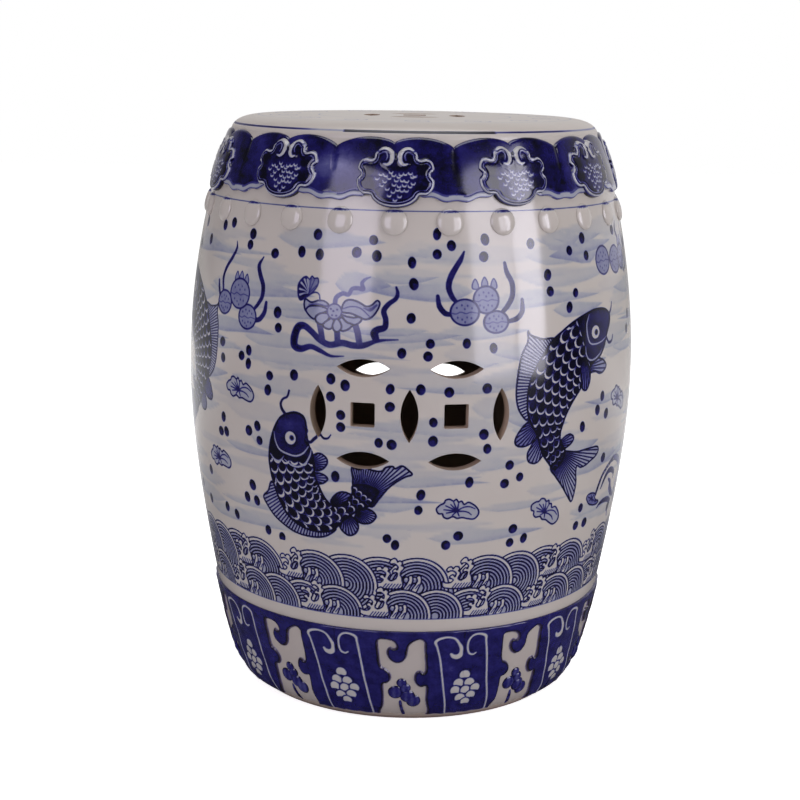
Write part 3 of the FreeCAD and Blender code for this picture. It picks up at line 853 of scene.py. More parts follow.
drops = (
    (-58, 379), (-54.5, 161), (-53.5, 223), (-53.5, 382), (-52.5, 293), (-52, 235), (-52, 281), (-51, 224),
    (-50, 158), (-45, 368), (-44.5, 176), (-44.5, 286), (-44.5, 376), (-42, 187), (-42, 230), (-42, 281),
    (-42, 291), (-41, 175), (-39, 235), (-38.5, 224), (-38, 153), (-36, 364), (-35.5, 264), (-35, 275),
    (-33.5, 150), (-33.5, 322), (-33, 311), (-28, 278), (-28, 367), (-24, 380), (-23, 366), (-18.5, 265),
    (-18.5, 278), (-17.5, 205), (-16, 243), (-16, 252), (-15, 274), (-13.5, 369), (-9.5, 378), (-8.5, 367),
    (-7, 233), (-5, 159), (-4.5, 260), (-4.5, 273), (-4, 232), (-3, 154), (-2, 299), (0, 324), (0, 363),
    (0.5, 348), (2.5, 182), (2.5, 273), (3, 194), (4, 297), (4.5, 306), (5.5, 235), (5.5, 249), (6, 369),
    (6, 383), (9, 271), (9.5, 154), (9.5, 375), (12.5, 161), (13, 306), (14.5, 203), (17.5, 239),
    (17.5, 367), (18, 273), (18, 379), (18.5, 228), (19.5, 302), (23.5, 200), (24.5, 214), (26.5, 152),
    (27, 163), (27.5, 204), (30.5, 154), (30.5, 375), (35, 352), (35.5, 340), (41.5, 327), (43, 368),
    (44, 337), (46.5, 235), (48.5, 376), (49, 154), (49.5, 363), (50, 168), (52.5, 245), (53, 154),
    (54.5, 255), (57, 240), (58, 204), (66, 378), (71, 300), (73, 311), (78, 366), (83, 371), (76, 205),
    (80, 214), (84, 160), (87, 285), (-88, 345), (-82, 376), (-76, 360), (-72, 378), (-66, 366), (-80, 175),
    (-72, 168), (-65, 160), (-62, 186), (68, 156), (75, 160),
)
for azimuth, height in drops:
    across, up, light = chance.uniform(2.9, 3.7), chance.uniform(3.4, 4.3), chance.uniform(-1, 1)
    paint_at(azimuth, height, 6, drop, across, up, light, turn=chance.uniform(-14, 14))


lens_length, lens_width, square_side, square_corner = 39.5, 13.0, 18.0, 1.2
coin_height, coin_reach, coin_wall_radius = 253.2, 34.1, 180.49


def lens_outline(upright):
    """A lens-shaped hole: two arcs that meet in points, of the radius that spans its length and
    bows out by half its width."""
    length, width = lens_length, lens_width
    arc = (length**2 / 4 + width**2 / 4) / width
    along = np.linspace(-length / 2, length / 2, 27)
    bow = np.sqrt(arc**2 - along**2) - (arc - width / 2)
    ring = np.vstack([np.stack([along, bow], -1), np.stack([along[::-1], -bow[::-1]], -1)[1:-1]])
    return ring[:, ::-1] if upright else ring


def square_outline():
    """The square hole of the coin, its corners a little rounded."""
    half, corner = square_side / 2, square_corner
    turn = np.radians(np.arange(0, 91, 30))
    ring = []
    for quarter in range(4):
        c, s = math.cos(quarter * math.pi / 2), math.sin(quarter * math.pi / 2)
        x, y = half - corner + corner * np.cos(turn), half - corner + corner * np.sin(turn)
        ring.append(np.stack([c * x - s * y, s * x + c * y], -1))
        side = np.linspace(half - corner, corner - half, 9)[1:-1]
        ring.append(np.stack([c * side - s * half, s * side + c * half], -1))
    return np.vstack(ring)


# Two coins side by side share the lens between them: a square in each, and a lens in each rim.
coin_step = math.degrees(coin_reach / coin_wall_radius)
holes = [(side, 0.0, square_outline()) for side in (-coin_step, coin_step)]
holes += [
    (side, up, lens_outline(False)) for side in (-coin_step, coin_step) for up in (-coin_reach, coin_reach)
]
holes += [(side, 0.0, lens_outline(True)) for side in (-2 * coin_step, 0.0, 2 * coin_step)]


def hole_ring(hole, out):
    """A hole's outline on the wall, cut straight towards the axis: azimuths and heights."""
    azimuth, up, ring = hole
    z = coin_height + up + ring[:, 1]
    return azimuth + np.degrees(np.arcsin(ring[:, 0] / (radius_at(z) + out))), z


def sheet_mesh(azimuths, heights, tone, keep, openings, out):
    """A skin over the kept samples of a grid of azimuths and heights, with openings: its
    vertices, triangles, tones, the rings of the openings and the four borders in order."""
    a, z = np.meshgrid(azimuths, heights)
    a, z, t, keep = a.ravel(), z.ravel(), tone.ravel(), keep.ravel().copy()
    scale, hole_reach = math.radians(1) * belly_radius, 24
    rings = [hole_ring(hole, out) for hole in openings]
    for ring_a, ring_z in rings:
        ring = np.stack([ring_a * scale, ring_z], -1)
        middle = ring.mean(0)
        near = keep & (np.abs(a * scale - middle[0]) < hole_reach) & (np.abs(z - middle[1]) < hole_reach)
        distance = inside(a[near] * scale, z[near], ring)
        keep[np.flatnonzero(near)[distance > -0.35]] = False
    a, z, t = a[keep], z[keep], t[keep]
    edges, loops, first = [], [], len(a)
    for ring_a, ring_z in rings:
        count = len(ring_a)
        loops.append(np.arange(first, first + count))
        edges += [(first + i, first + (i + 1) % count) for i in range(count)]
        nearest = [int(np.argmin((a - p) ** 2 * scale**2 + (z - q) ** 2)) for p, q in zip(ring_a, ring_z)]
        a, z, t = np.append(a, ring_a), np.append(z, ring_z), np.append(t, t[nearest])
        first += count
    points = [Vector(p) for p in np.stack([a * scale, z], -1).tolist()]
    made = delaunay_2d_cdt(points, edges, [], 0, 1e-7, True)
    assert len(made[0]) == len(points)
    faces = np.array(made[2])
    middle = np.stack([(a * scale)[faces].mean(1), z[faces].mean(1)], -1)
    solid = np.ones(len(faces), bool)
    for ring_a, ring_z in rings:
        ring = np.stack([ring_a * scale, ring_z], -1)
        near = np.hypot(*(middle - ring.mean(0)).T) < hole_reach
        solid[np.flatnonzero(near)[inside(middle[near, 0], middle[near, 1], ring) > 0]] = False
    faces = faces[solid]
    borders = []
    for line, value, order in (
        (z, heights[0], a), (a, azimuths[-1], z), (z, heights[-1], a), (a, azimuths[0], z),
    ):
        on = np.flatnonzero(np.abs(line - value) < 1e-9)
        borders.append(on[np.argsort(order[on])])
    return on_barrel(a, z, out), faces, t, loops, borders


def add_wall(name, azimuths, heights, tone, keep, openings):
    """One block of the wall: the painted skin outside, a plain skin inside, the cut edges of its
    openings, and flat faces where it meets its neighbours."""
    skin = sheet_mesh(azimuths, heights, tone, keep, openings, 0.0)
    outer, outer_faces, outer_tone, outer_loops, outer_borders = skin
    blank = np.zeros((25, 31))
    coarse_z, coarse_a = [
        np.linspace(line[0], line[-1], count) for line, count in zip((heights, azimuths), blank.shape)
    ]
    lining = sheet_mesh(coarse_a, coarse_z, blank, blank == 0, openings, -wall)
    inner, inner_faces, inner_tone, inner_loops, inner_borders = lining
    shift = len(outer)
    vertices, coats = [outer, inner], [outer_tone, inner_tone]
    clays = [np.zeros(len(outer)), np.ones(len(inner))]
    faces, top = [outer_faces, inner_faces[:, ::-1] + shift], shift + len(inner)
    for outer_loop, inner_loop in zip(outer_loops, inner_loops):
        rings = [outer_loop]
        for share in (0.06, 0.14, 0.94):
            ring = outer[outer_loop] * (1 - share) + inner[inner_loop] * share
            vertices.append(ring)
            coats.append(np.zeros(len(ring)))
            clays.append(np.full(len(ring), min(1.0, share * 7)))
            rings.append(np.arange(top, top + len(ring)))
            top += len(ring)
        rings.append(inner_loop + shift)
        for near, far in zip(rings[:-1], rings[1:]):
            faces.append(np.stack([near, np.roll(near, -1), np.roll(far, -1), far], -1))
    for side in range(4):
        far, near = outer_borders[side], inner_borders[side] + shift
        ring = np.concatenate([far, near[::-1]])
        faces.append(ring[None, ::-1] if side in (0, 1) else ring[None, :])
    coats, clays = np.concatenate(coats), np.concatenate(clays)
    add_piece(name, np.vstack(vertices), faces, coats, clays, ["barrel_wall"])


def worth_keeping(tone, coarse, limit):
    """The samples a mesh needs: a coarse lattice, and every sample where the tone changes fast."""
    change = np.zeros(tone.shape)
    for axis in (0, 1):
        step = np.abs(np.diff(tone, axis=axis))
        low, high = [[(0, 0), (0, 0)] for _ in range(2)]
        low[axis], high[axis] = (1, 0), (0, 1)
        change = np.maximum(change, np.maximum(np.pad(step, low), np.pad(step, high)))
    keep = change > limit
    keep[::coarse, ::coarse] = True
    keep[[0, -1], :] = keep[:, [0, -1]] = True
    return keep


# Each half turn is three blocks. The skin keeps every fourth sample, and all where the tone
# changes by more than 0.07 from one to the next.
third, lattice, quick_change = sheet_columns // 3, 4, 0.07
for name, turn in (("front", 0), ("back", 180)):
    for number, part_name in enumerate(("left", "middle", "right")):
        columns = np.arange(number * third, (number + 1) * third + 1)
        tone = sheet[:, columns % sheet_columns]
        azimuths = -90 + 180 * columns / sheet_columns + turn
        openings = [
            (azimuth + turn, up, ring) for azimuth, up, ring in holes
        ] if part_name == "middle" else []
        keep = worth_keeping(tone, lattice, quick_change)
        add_wall(f"painted_wall_{name}_{part_name}", azimuths, sheet_height, tone, keep, openings)

# Plain wall under the collar and under the frieze
# The wall goes on up behind the lappets to the seat, and down behind the frieze to the foot.


def grid_faces(rows, columns, around=False, closed=False, first=0):
    """The quads of a grid of vertices counted row by row from first; around joins the last column
    to the first one, and closed the last row."""
    index = first + np.arange(rows * columns).reshape(rows, columns)
    if closed:
        index = np.vstack([index, index[:1]])
    if around:
        index = np.hstack([index, index[:, :1]])
    return np.stack([index[:-1, :-1], index[:-1, 1:], index[1:, 1:], index[1:, :-1]], -1).reshape(-1, 4)


def add_plain_wall(name, low, high, rows):
    """A ring of the wall between two heights, in rows outside and every fourth one inside: the
    radius times the sine and minus the cosine of the azimuth."""
    columns, up = 720, np.linspace(low, high, rows)
    outside = np.stack([radius_at(up), up], -1)
    within = np.stack([radius_at(up[::-4]) - wall, up[::-4]], -1)
    radius, height = np.split(np.vstack([outside, within]), 2, axis=1)
    angle = np.radians(360 * np.arange(columns) / columns)
    vertices = np.stack([radius * np.sin(angle), -radius * np.cos(angle), height + 0 * angle], -1)
    faces = grid_faces(len(radius), columns, around=True, closed=True)
    bare = np.repeat(np.concatenate([np.zeros(rows), np.ones(len(within))]), columns)
    add_piece(name, vertices.reshape(-1, 3), [faces], 0.0, bare, ["barrel_wall"])


frieze_high, seat_joint_height = 82.5, 448.0
add_plain_wall("wall_shoulder", field_top, seat_joint_height, 40)
add_plain_wall("wall_foot", foot_joint_height, frieze_high, 24)

# The band of waves
# Two rows of overlapping fans with curls and foam, drawn with a fine brush. The pattern comes
# eight times round the ring, so four times on each half of it.

wave_bottom, wave_top, wave_pitch = frieze_high, field_bottom, 0.65
wave_radius = float(radius_at(115.0))
wave_period = math.pi * wave_radius / 4
wave_columns = int(round(math.pi * wave_radius / wave_pitch))
wave_heights = np.linspace(wave_bottom, wave_top, int(round((wave_top - wave_bottom) / wave_pitch)) + 1)
wave_azimuths = -90 + 180 * np.arange(wave_columns + 1) / wave_columns
wave_x, wave_y = np.meshgrid((wave_azimuths + 90) * math.pi * wave_radius / 180, wave_heights)
waves = Patch(wave_x, wave_y, np.zeros(wave_x.shape))
ink, bare_white, fan_pitch, line_half = 1.3, 0.03, 2.6, 0.52


def arches(patch, x, y, reach, inner):
    """A fan of water: a white rim and fine dark arches inside it, down to an inner radius."""
    where = patch.near([(x - reach, y - reach), (x + reach, y + reach)], 1)
    r = np.hypot(patch.x[where] - x, patch.y[where] - y)
    patch.lay(where, reach - r, bare_white)
    patch.lay(where, np.minimum(0.45 - np.abs(r - reach + 0.4), reach - r + 0.2), ink)
    patch.lay(where, reach - 3.2 - r, 0.24)
    ring = np.abs((reach - 3.4 - r) / fan_pitch % 1 - 0.5) * fan_pitch
    line = ring - (fan_pitch / 2 - line_half)
    patch.lay(where, np.minimum(np.minimum(line, reach - 3.0 - r), r - inner), ink, 0.25)


def breaking(patch, x, y, reach):
    """A fan that breaks: two hooks of white water at its middle over slanting hatching, and on its
    left the foam it throws up, a tall crest and a short one that both curl over."""
    arches(patch, x, y, reach, 4.5)
    crest = [
        (-8.9, 17.5), (-10, 18.6), (-11, 19.1), (-12.3, 18.4), (-13.2, 20.1), (-14.6, 21), (-16.2, 20.4),
        (-17.7, 18.9), (-18.2, 17.3), (-17.2, 16), (-15.9, 16.7), (-14.3, 16.4), (-12.7, 15), (-12.1, 13.6),
        (-12.7, 11.8), (-14.3, 12.5), (-15.5, 11.4), (-16.1, 10.2), (-15.2, 8.8), (-13.8, 9.6),
        (-12.5, 8.6), (-12.7, 6.8), (-13.6, 4.6), (-15.4, 3.2), (-17.1, 2.6), (-18.8, 3.2), (-19.3, 4.6),
        (-18.8, 6.1), (-17.9, 7.5), (-18, 9.3), (-19.1, 10.4), (-18.8, 12.1), (-19.6, 13.6), (-21.1, 14.1),
        (-22.5, 13.6), (-23.5, 12.5), (-24.8, 13.8), (-26.8, 13.6), (-28.2, 12.1), (-28.1, 10.5),
        (-27.1, 9.8), (-25.7, 10.5), (-23.6, 10.5), (-21.8, 9.3), (-21.1, 7.9), (-21.8, 5.8), (-23.2, 7.3),
        (-25, 6.8), (-25.9, 5.7), (-25.4, 4.5), (-23.8, 3.9), (-23, 2.9), (-23.9, 1.6), (-25, 0.9),
        (-27.5, 0.7), (-29.3, 1.1), (-30.9, 2.1), (-30, -2.9), (-19.6, -4.3), (-9.3, -2.9), (-9.3, 5),
        (-10.3, 7.5), (-10, 10), (-8.6, 11.8), (-7.5, 13.9), (-9.3, 15.4),
    ]
    crest = [(x + u - 1.6, y + v + 2.8) for u, v in crest]
    patch.fill(crest, bare_white, rim=ink, rim_width=0.75)
    # A dot marks where two fingers of the foam meet.
    notches = (3, 9, 14, 18, 24, 30, 35, 40, 45, 49, 65)
    for index in notches:
        patch.oval(*crest[index], 0.65, 0.65, ink)
    for u in (-7.5, -1.6):
        patch.oval(x + u, y + 6.2, 2.3, 2.6, 0.3, rim=ink, rim_width=0.8)
        patch.oval(x + u, y + 7.4, 1.0, 0.7, 0.05)
    hooks = (
        [(-7.6, -1.5), (-5.3, 3.2), (-4.2, 6.2), (-4.4, 8.4)],
        [(-1.6, -2.4), (0.6, 1.8), (2, 5), (1.7, 8.4)],
    )
    for extra, density in ((1.5, ink), (0.0, bare_white)):
        for points in hooks:
            patch.stroke([(x + u, y + v) for u, v in points], np.array((3.4, 2.6, 2.2, 2.4)) + extra, density)
    for side in range(12):
        foot = x - 25 + 2.2 * side
        patch.stroke([(foot, y - 0.8), (foot + 2.6, y + 2.8)], 0.65, 1.0, curved=False)


# A row is the height of its fans' centres, the azimuth where a period starts and their radius. A
# period has a breaking fan at its start, two plain ones after it and a second breaking one.
ground_line, everywhere_x, fan_core = 93.0, 1000, 2.4
upper_row, lower_row = (119.5, 20.5, 24.5), (95.5, -1.0, 22.5)
first_plain, second_plain, second_breaking = 25, 50.5, 78
where = waves.near([(0, 91.5), (everywhere_x, 118)], 0)
waves.lay(where, np.minimum(waves.y[where] - 93.2, 122 - waves.y[where]), 0.26, 2.0)
for y, start, reach in (upper_row, lower_row):
    first = (start + 90) / 180 * math.pi * wave_radius
    for turn in range(-2, 6):
        x = first + turn * wave_period
        arches(waves, x + second_plain, y, reach, fan_core)
        breaking(waves, x + second_breaking, y, reach)
        arches(waves, x + first_plain, y, reach, fan_core)
        breaking(waves, x, y, reach)
where = waves.near([(0, 80), (everywhere_x, 96)], 0)
waves.lay(where, ground_line - waves.y[where], 0.0)
waves.lay(where, 0.45 - np.abs(waves.y[where] - ground_line), 0.5)


def block_faces(rows, columns):
    """The faces of an outer grid and of the plain one behind it, with a flat many-cornered face
    along each of the four sides; the counts are of rows and columns, outer then inner."""
    far = np.arange(rows[0] * columns[0]).reshape(rows[0], columns[0])
    near = far.size + np.arange(rows[1] * columns[1]).reshape(rows[1], columns[1])
    faces = [grid_faces(rows[0], columns[0]), grid_faces(rows[1], columns[1], first=far.size)[:, ::-1]]
    sides = (
        (far[0], near[0], 1), (far[:, -1], near[:, -1], 1), (far[-1], near[-1], -1),
        (far[:, 0], near[:, 0], -1),
    )
    for a, b, flip in sides:
        faces.append(np.concatenate([a, b[::-1]])[::-flip][None])
    return faces


plain_rows, plain_columns = 9, 61
plain = plain_rows * plain_columns
for name, turn in (("front", 0), ("back", 180)):
    outer = on_barrel(wave_azimuths[None, :] + turn, wave_heights[:, None])
    low_z, low_a = np.linspace(wave_bottom, wave_top, plain_rows), np.linspace(-90, 90, plain_columns)
    inner = on_barrel(low_a[None, :] + turn, low_z[:, None], -wall)
    faces = block_faces((len(wave_heights), plain_rows), (wave_columns + 1, plain_columns))
    bare = np.concatenate([np.zeros(waves.tone.size), np.ones(plain)])
    tone = np.concatenate([waves.tone.ravel(), np.zeros(plain)])
    vertices = np.vstack([outer.reshape(-1, 3), inner.reshape(-1, 3)])
    add_piece(f"wave_band_{name}", vertices, faces, tone, bare, ["barrel_wall"])

# Studs
# Twenty-six low round buttons of clay, pressed on under the collar and left white.

stud_count, stud_start, stud_height, stud_radius, stud_rise = 26, -4.6, 391.2, 9.5, 3.2


def add_dome(name, azimuth, height, outline, lift, paint_it):
    """A raised piece on the barrel: rings shrunk from an outline of x and y, lifted by the profile
    lift over the share from rim to middle, with a plain back sunk behind the glaze of the wall."""
    rings, points = len(lift), len(outline)
    share = np.concatenate([np.linspace(1, 0.86, 6), np.linspace(0.86, 0, rings - 4)[1:-1]])
    x, y = [(share[:, None] * outline[None, :, axis]).ravel() for axis in (0, 1)]
    rise = np.repeat(np.interp(1 - share, np.linspace(0, 1, rings), lift), points)
    patch = Patch(x, y, np.zeros(x.shape))
    relief = paint_it(patch)
    around, sunk = azimuth + np.degrees(x / radius_at(height)), -0.6
    top = on_barrel(around, height + y, rise + relief)
    middle = on_barrel(azimuth, height, lift[-1])[None]
    back = on_barrel(around[:points], height + y[:points], sunk)
    hub = on_barrel(azimuth, height, sunk)[None]
    count = len(share) * points
    faces = [grid_faces(len(share), points, around=True)]
    last = np.arange(count - points, count)
    faces.append(np.stack([last, np.roll(last, -1), np.full(points, count)], -1))
    rim, under = np.arange(points), count + 1 + np.arange(points)
    faces.append(np.stack([under, np.roll(under, -1), np.roll(rim, -1), rim], -1))
    faces.append(np.stack([np.roll(under, -1), under, np.full(points, count + 1 + points)], -1))
    tone = np.concatenate([patch.tone, [patch.tone[-1]], patch.tone[:points], [0.0]])
    add_piece(name, np.vstack([top, middle, back, hub]), faces, tone, 0.0, [name])


def circle(radius, points):
    """A round outline."""
    angle = 2 * np.pi * np.arange(points) / points
    return radius * np.stack([np.cos(angle), np.sin(angle)], -1)


def brushed_top(patch):
    """The blue line of the shoulder, which runs over the top of each button."""
    patch.stroke([(-7, 7.3), (-4, 7.5), (0, 7.7), (4, 7.5), (7, 7.3)], (0.8, 1.2, 1.5, 1.2, 0.8), 0.8)
    return 0.0


bulge = np.sqrt(1 - (1 - np.linspace(0.02, 1, 14)) ** 2.2)
for index in range(stud_count):
    azimuth = stud_start + index * 360 / stud_count
    button = circle(stud_radius, 48)
    name = f"stud_{index + 1:02d}"
    add_dome(name, azimuth, stud_height, button, stud_rise * bulge, brushed_top)

# Lappet collar
# Eleven cobalt lappets under the seat, doubled over each other at the clefts, with a pale
# scalloped hem that dips to a foot between the heads.

lappets, lappet_start, collar_rise = 11, 11.0, 2.2
step = 360 / lappets
cleft_height, junction_height, arch_height = 442.6, 445.6, 5.6
hem_height, foot_height, hem_width = 412.0, 405.5, 5.0


def collar_edges(azimuth):
    """The top and the hem of the collar: share 0 is a cleft and 0.5 the joint behind a head.
    The top is an arc over each half, the hem rises from the foot in two small scallops."""
    share = np.abs((azimuth - lappet_start) / step % 1)
    share = np.minimum(share, 1 - share) * 2
    arch = np.sin(np.pi * np.clip(share, 0, 1)) ** 0.6
    top = cleft_height + (junction_height - cleft_height) * share + arch_height * arch
    bend = 0.72
    up, beyond = np.clip(share / bend, 0, 1), np.clip((share - bend) / (1 - bend), 0, 1)
    hem = foot_height + (hem_height - foot_height) * up**1.5
    return top, hem - 1.5 * np.sin(2 * np.pi * up) ** 2 + 5 * beyond**2


columns, rows = 1500, 56
azimuth = 360 * np.arange(columns) / columns
top, hem = collar_edges(azimuth)
share = [0, 0.0, 0.006, 0.02, 0.045, *np.linspace(0.07, 0.93, rows - 10), 0.955, 0.98, 0.994, 1.0, 1.0]
share = np.array(share)[:, None]
height = hem + (top - hem) * share
gap = np.minimum(height - hem, top - height)
edge = np.sqrt(np.clip(1 - (1 - np.clip(gap / 1.5, 0, 1)) ** 2, 0, 1))
lap = np.abs((azimuth - lappet_start) / step % 1)
lap = np.where(lap > 0.5, lap - 1, lap) * step * math.radians(radius_at(430.0))
groove = np.exp(-((lap / 1.6) ** 2)) * np.clip((height - 425) / 14, 0, 1)
fold = np.exp(-(((height - hem - hem_width) / 0.9) ** 2))
out = -0.4 + (collar_rise + 0.4) * edge - 0.55 * groove * edge - 0.35 * fold * edge
out[[0, -1]] = -0.8
tone = 0.86 + 0.07 * np.sin(np.radians(azimuth) * 23 + height * 0.07)
tone = np.where(height - hem < hem_width, 0.2, tone)
line = np.minimum(np.abs(height - hem - hem_width), np.abs(height - hem - 0.8))
tone = np.where(line < 0.55, 0.62, tone)
# Painted shade: the tone is darker in a narrow strip down each cleft, where the lappets fold over each other.
tone = np.clip(tone + 0.16 * np.exp(-((lap / 2.4) ** 2)) * (height > 416), 0, 1)
thin_places = (-22.9, 27.2, 150.0, 262.0)
for centre in thin_places:
    away = (azimuth - centre + 180) % 360 - 180
    pool = np.exp(-((away / 5.5) ** 2) - ((height - 428) / 11) ** 2)
    tone = tone - 0.42 * pool * (height - hem > 6.0)
grid = on_barrel(azimuth[None, :], height, out)
faces = [grid_faces(len(share), columns, around=True, closed=True)]
add_piece("lappet_collar", grid.reshape(-1, 3), faces, tone.ravel(), 0.0, ["lappet_collar"])

# Ruyi cloud heads
# A moulded cloud head over each joint of two lappets: two curls on top, lobes at the sides and
# a round drop below, rimmed with pale slip and dotted with small white crescents of painted highlight.

head_rise, head_height = 4.4, 421.0
half_cloud = [
    (0, -21.6), (6, -21), (11.6, -19), (15.8, -15.6), (17.6, -13.0), (22.6, -12.8), (26.2, -9.8),
    (28.2, -6), (28.4, -1.4), (25.8, 2.2), (28.4, 5.4), (27.8, 10), (25, 13.2), (21.4, 14.2), (17.2, 13.6),
    (16.4, 17.2), (13.2, 20), (9.4, 21.4), (5.4, 20.8), (2.2, 18.6),
]
cloud = np.array(half_cloud + [(0, 17)] + [(-x, y) for x, y in half_cloud[:0:-1]])
cloud = smooth(cloud, closed=True)


def cloud_head(patch):
    """Paints a cloud head and returns its relief: bands sunk along the rim, the curls raised."""
    distance = inside(patch.x, patch.y, cloud)
    everywhere = slice(None)
    patch.tone[:] = 0.87
    bands = ((-1.0, 1.3, 1.05), (1.3, 2.9, 0.12), (2.9, 3.9, 1.08), (3.9, 4.7, 0.24), (4.7, 6.0, 1.05))
    for low, high, density in bands:
        patch.lay(everywhere, np.minimum(distance - low, high - distance), density, 0.25)
    relief = -0.5 * np.exp(-(((distance - 3.6) / 0.9) ** 2))
    patch.fill([(-9, 6), (-9, 19), (-4, 23), (4, 23), (9, 19), (9, 6)], 0.92)
    volute = ((12.5, 18.6), (9.6, 20.2), (6, 20), (3.6, 17.8), (2.8, 14.4), (3.4, 11), (5.6, 9), (8.6, 9.4))
    vein = ((10, 17.6), (7.4, 17.2), (6.2, 14.6), (7, 12))
    for side in (-1, 1):
        hook = [(side * x, y) for x, y in volute]
        patch.stroke(hook, (2.4, 3.6, 4.8, 5.0, 4.8, 4.4, 3.6, 2.2), 1.05)
        patch.stroke(hook, (1.2, 2.2, 3.2, 3.5, 3.4, 3.0, 2.3, 1.0), 0.1)
        patch.stroke([(side * x, y) for x, y in vein], (0.6, 0.9, 0.9, 0.5), 0.26)
        near, _, _ = to_path(patch.x, patch.y, smooth(hook))
        relief = relief + 0.6 * np.exp(-((near / 1.6) ** 2))
        patch.oval(side * 18.6, 6, 4.4, 4.4, 1.0, soft=0.9)
        patch.oval(side * 18.2, -4.5, 4.4, 4.4, 1.0, soft=0.9)
    # Painted highlights: small white crescents stand for the glints of fine moulded relief, which the head's
    # shape does not have.
    glint_crescents = (
        (-3, 3.5), (-1, 1.5), (2.5, 0.5), (4, 2), (7, 2.5), (10.5, 3), (12, 0.5), (5, -2), (8, -2.5),
        (-7, -3), (-0.5, -5), (3, -6), (-1, -10), (2, -8.5), (5, -9), (8, -9), (12.5, -4), (3.5, -13),
        (-10, 2), (-12.5, -1), (-5, -8), (-4, -0.5), (1, -2), (10.5, -6), (-9, -5.5), (-3.5, -12.5),
        (0.5, -15.5), (13.6, 1.2), (-6.5, 1.2), (6.6, -5.4),
    )
    for x, y in glint_crescents:
        patch.stroke(
            [(x - 1.5, y + 1), (x - 1, y - 0.4), (x + 0.6, y - 0.6), (x + 1.5, y + 0.7)],
            (0.4, 1.1, 1.2, 0.4), 0.12,
        )
    return relief


profile = np.concatenate([[0.0, 0.42, 0.72, 0.9], np.linspace(1.0, 1.12, 32)]) * head_rise
shifts = (
    (0, 2), (-2.2, 4.2), (0.8, 2), (-0.5, 1.5), (0.6, 3), (-0.9, 2.5), (0.3, 1), (0.7, 3), (-0.6, 2),
    (1.5, 4), (0.7, 1),
)
for index, (aside, lift) in enumerate(shifts):
    name, azimuth = f"ruyi_head_{index + 1:02d}", lappet_start + (index + 0.5) * step + aside
    add_dome(name, azimuth, head_height + lift, cloud, profile, cloud_head)

# Foot frieze
# Ten cobalt panels with slip-trailed frames and a pine cone of white petals, and between them
# ten reserves cut down, their ground tinted a quarter of the way from white glaze to bare clay.

panels, frieze_low, frieze_rise, frieze_start = 10, 6.0, 2.0, -1.2
frieze_middle, frieze_pitch = 42.0, 0.68
panel_turn = 360 / panels
frieze_radius = float(radius_at(frieze_middle)) + frieze_rise
frieze_width = math.radians(panel_turn) * frieze_radius
reserve_left = [
    (-15.5, -37), (-14.5, -25), (-14, -15), (-14.3, -8), (-13.6, -5.2), (-11, -4.6), (-8.7, -2.2), (-8, 1),
    (-9, 4.2), (-12, 7.6), (-15, 9.2), (-16.3, 13), (-16.7, 18), (-17.3, 25), (-17.5, 31), (-16.4, 33.3),
    (-12, 33.7), (-7.2, 33), (-4.4, 31), (-3.2, 28), (-4, 26), (-6, 25.6), (-8.2, 26.6), (-10, 24.6),
    (-10.3, 21), (-8.5, 17), (-5.2, 14.2), (-2.5, 13.5), (0.6, 14.6), (3, 17.5), (4.2, 21), (4.8, 26),
    (6, 29.5), (9, 32.2), (12.5, 34), (15.2, 33.8), (17.3, 31.5), (17.6, 27), (18, 22), (18.7, 14), (19, 8),
]
reserve_right = [
    (18.4, 5.2), (16.8, 4.4), (15.4, 6), (13.4, 6.2), (11.6, 4.6), (10.6, 1.4), (11, -2.4), (13, -6),
    (16, -7.7), (19, -7), (20.3, -9), (20.3, -20), (20.2, -37),
]
reserve = smooth(reserve_left + reserve_right, closed=True, steps=4)


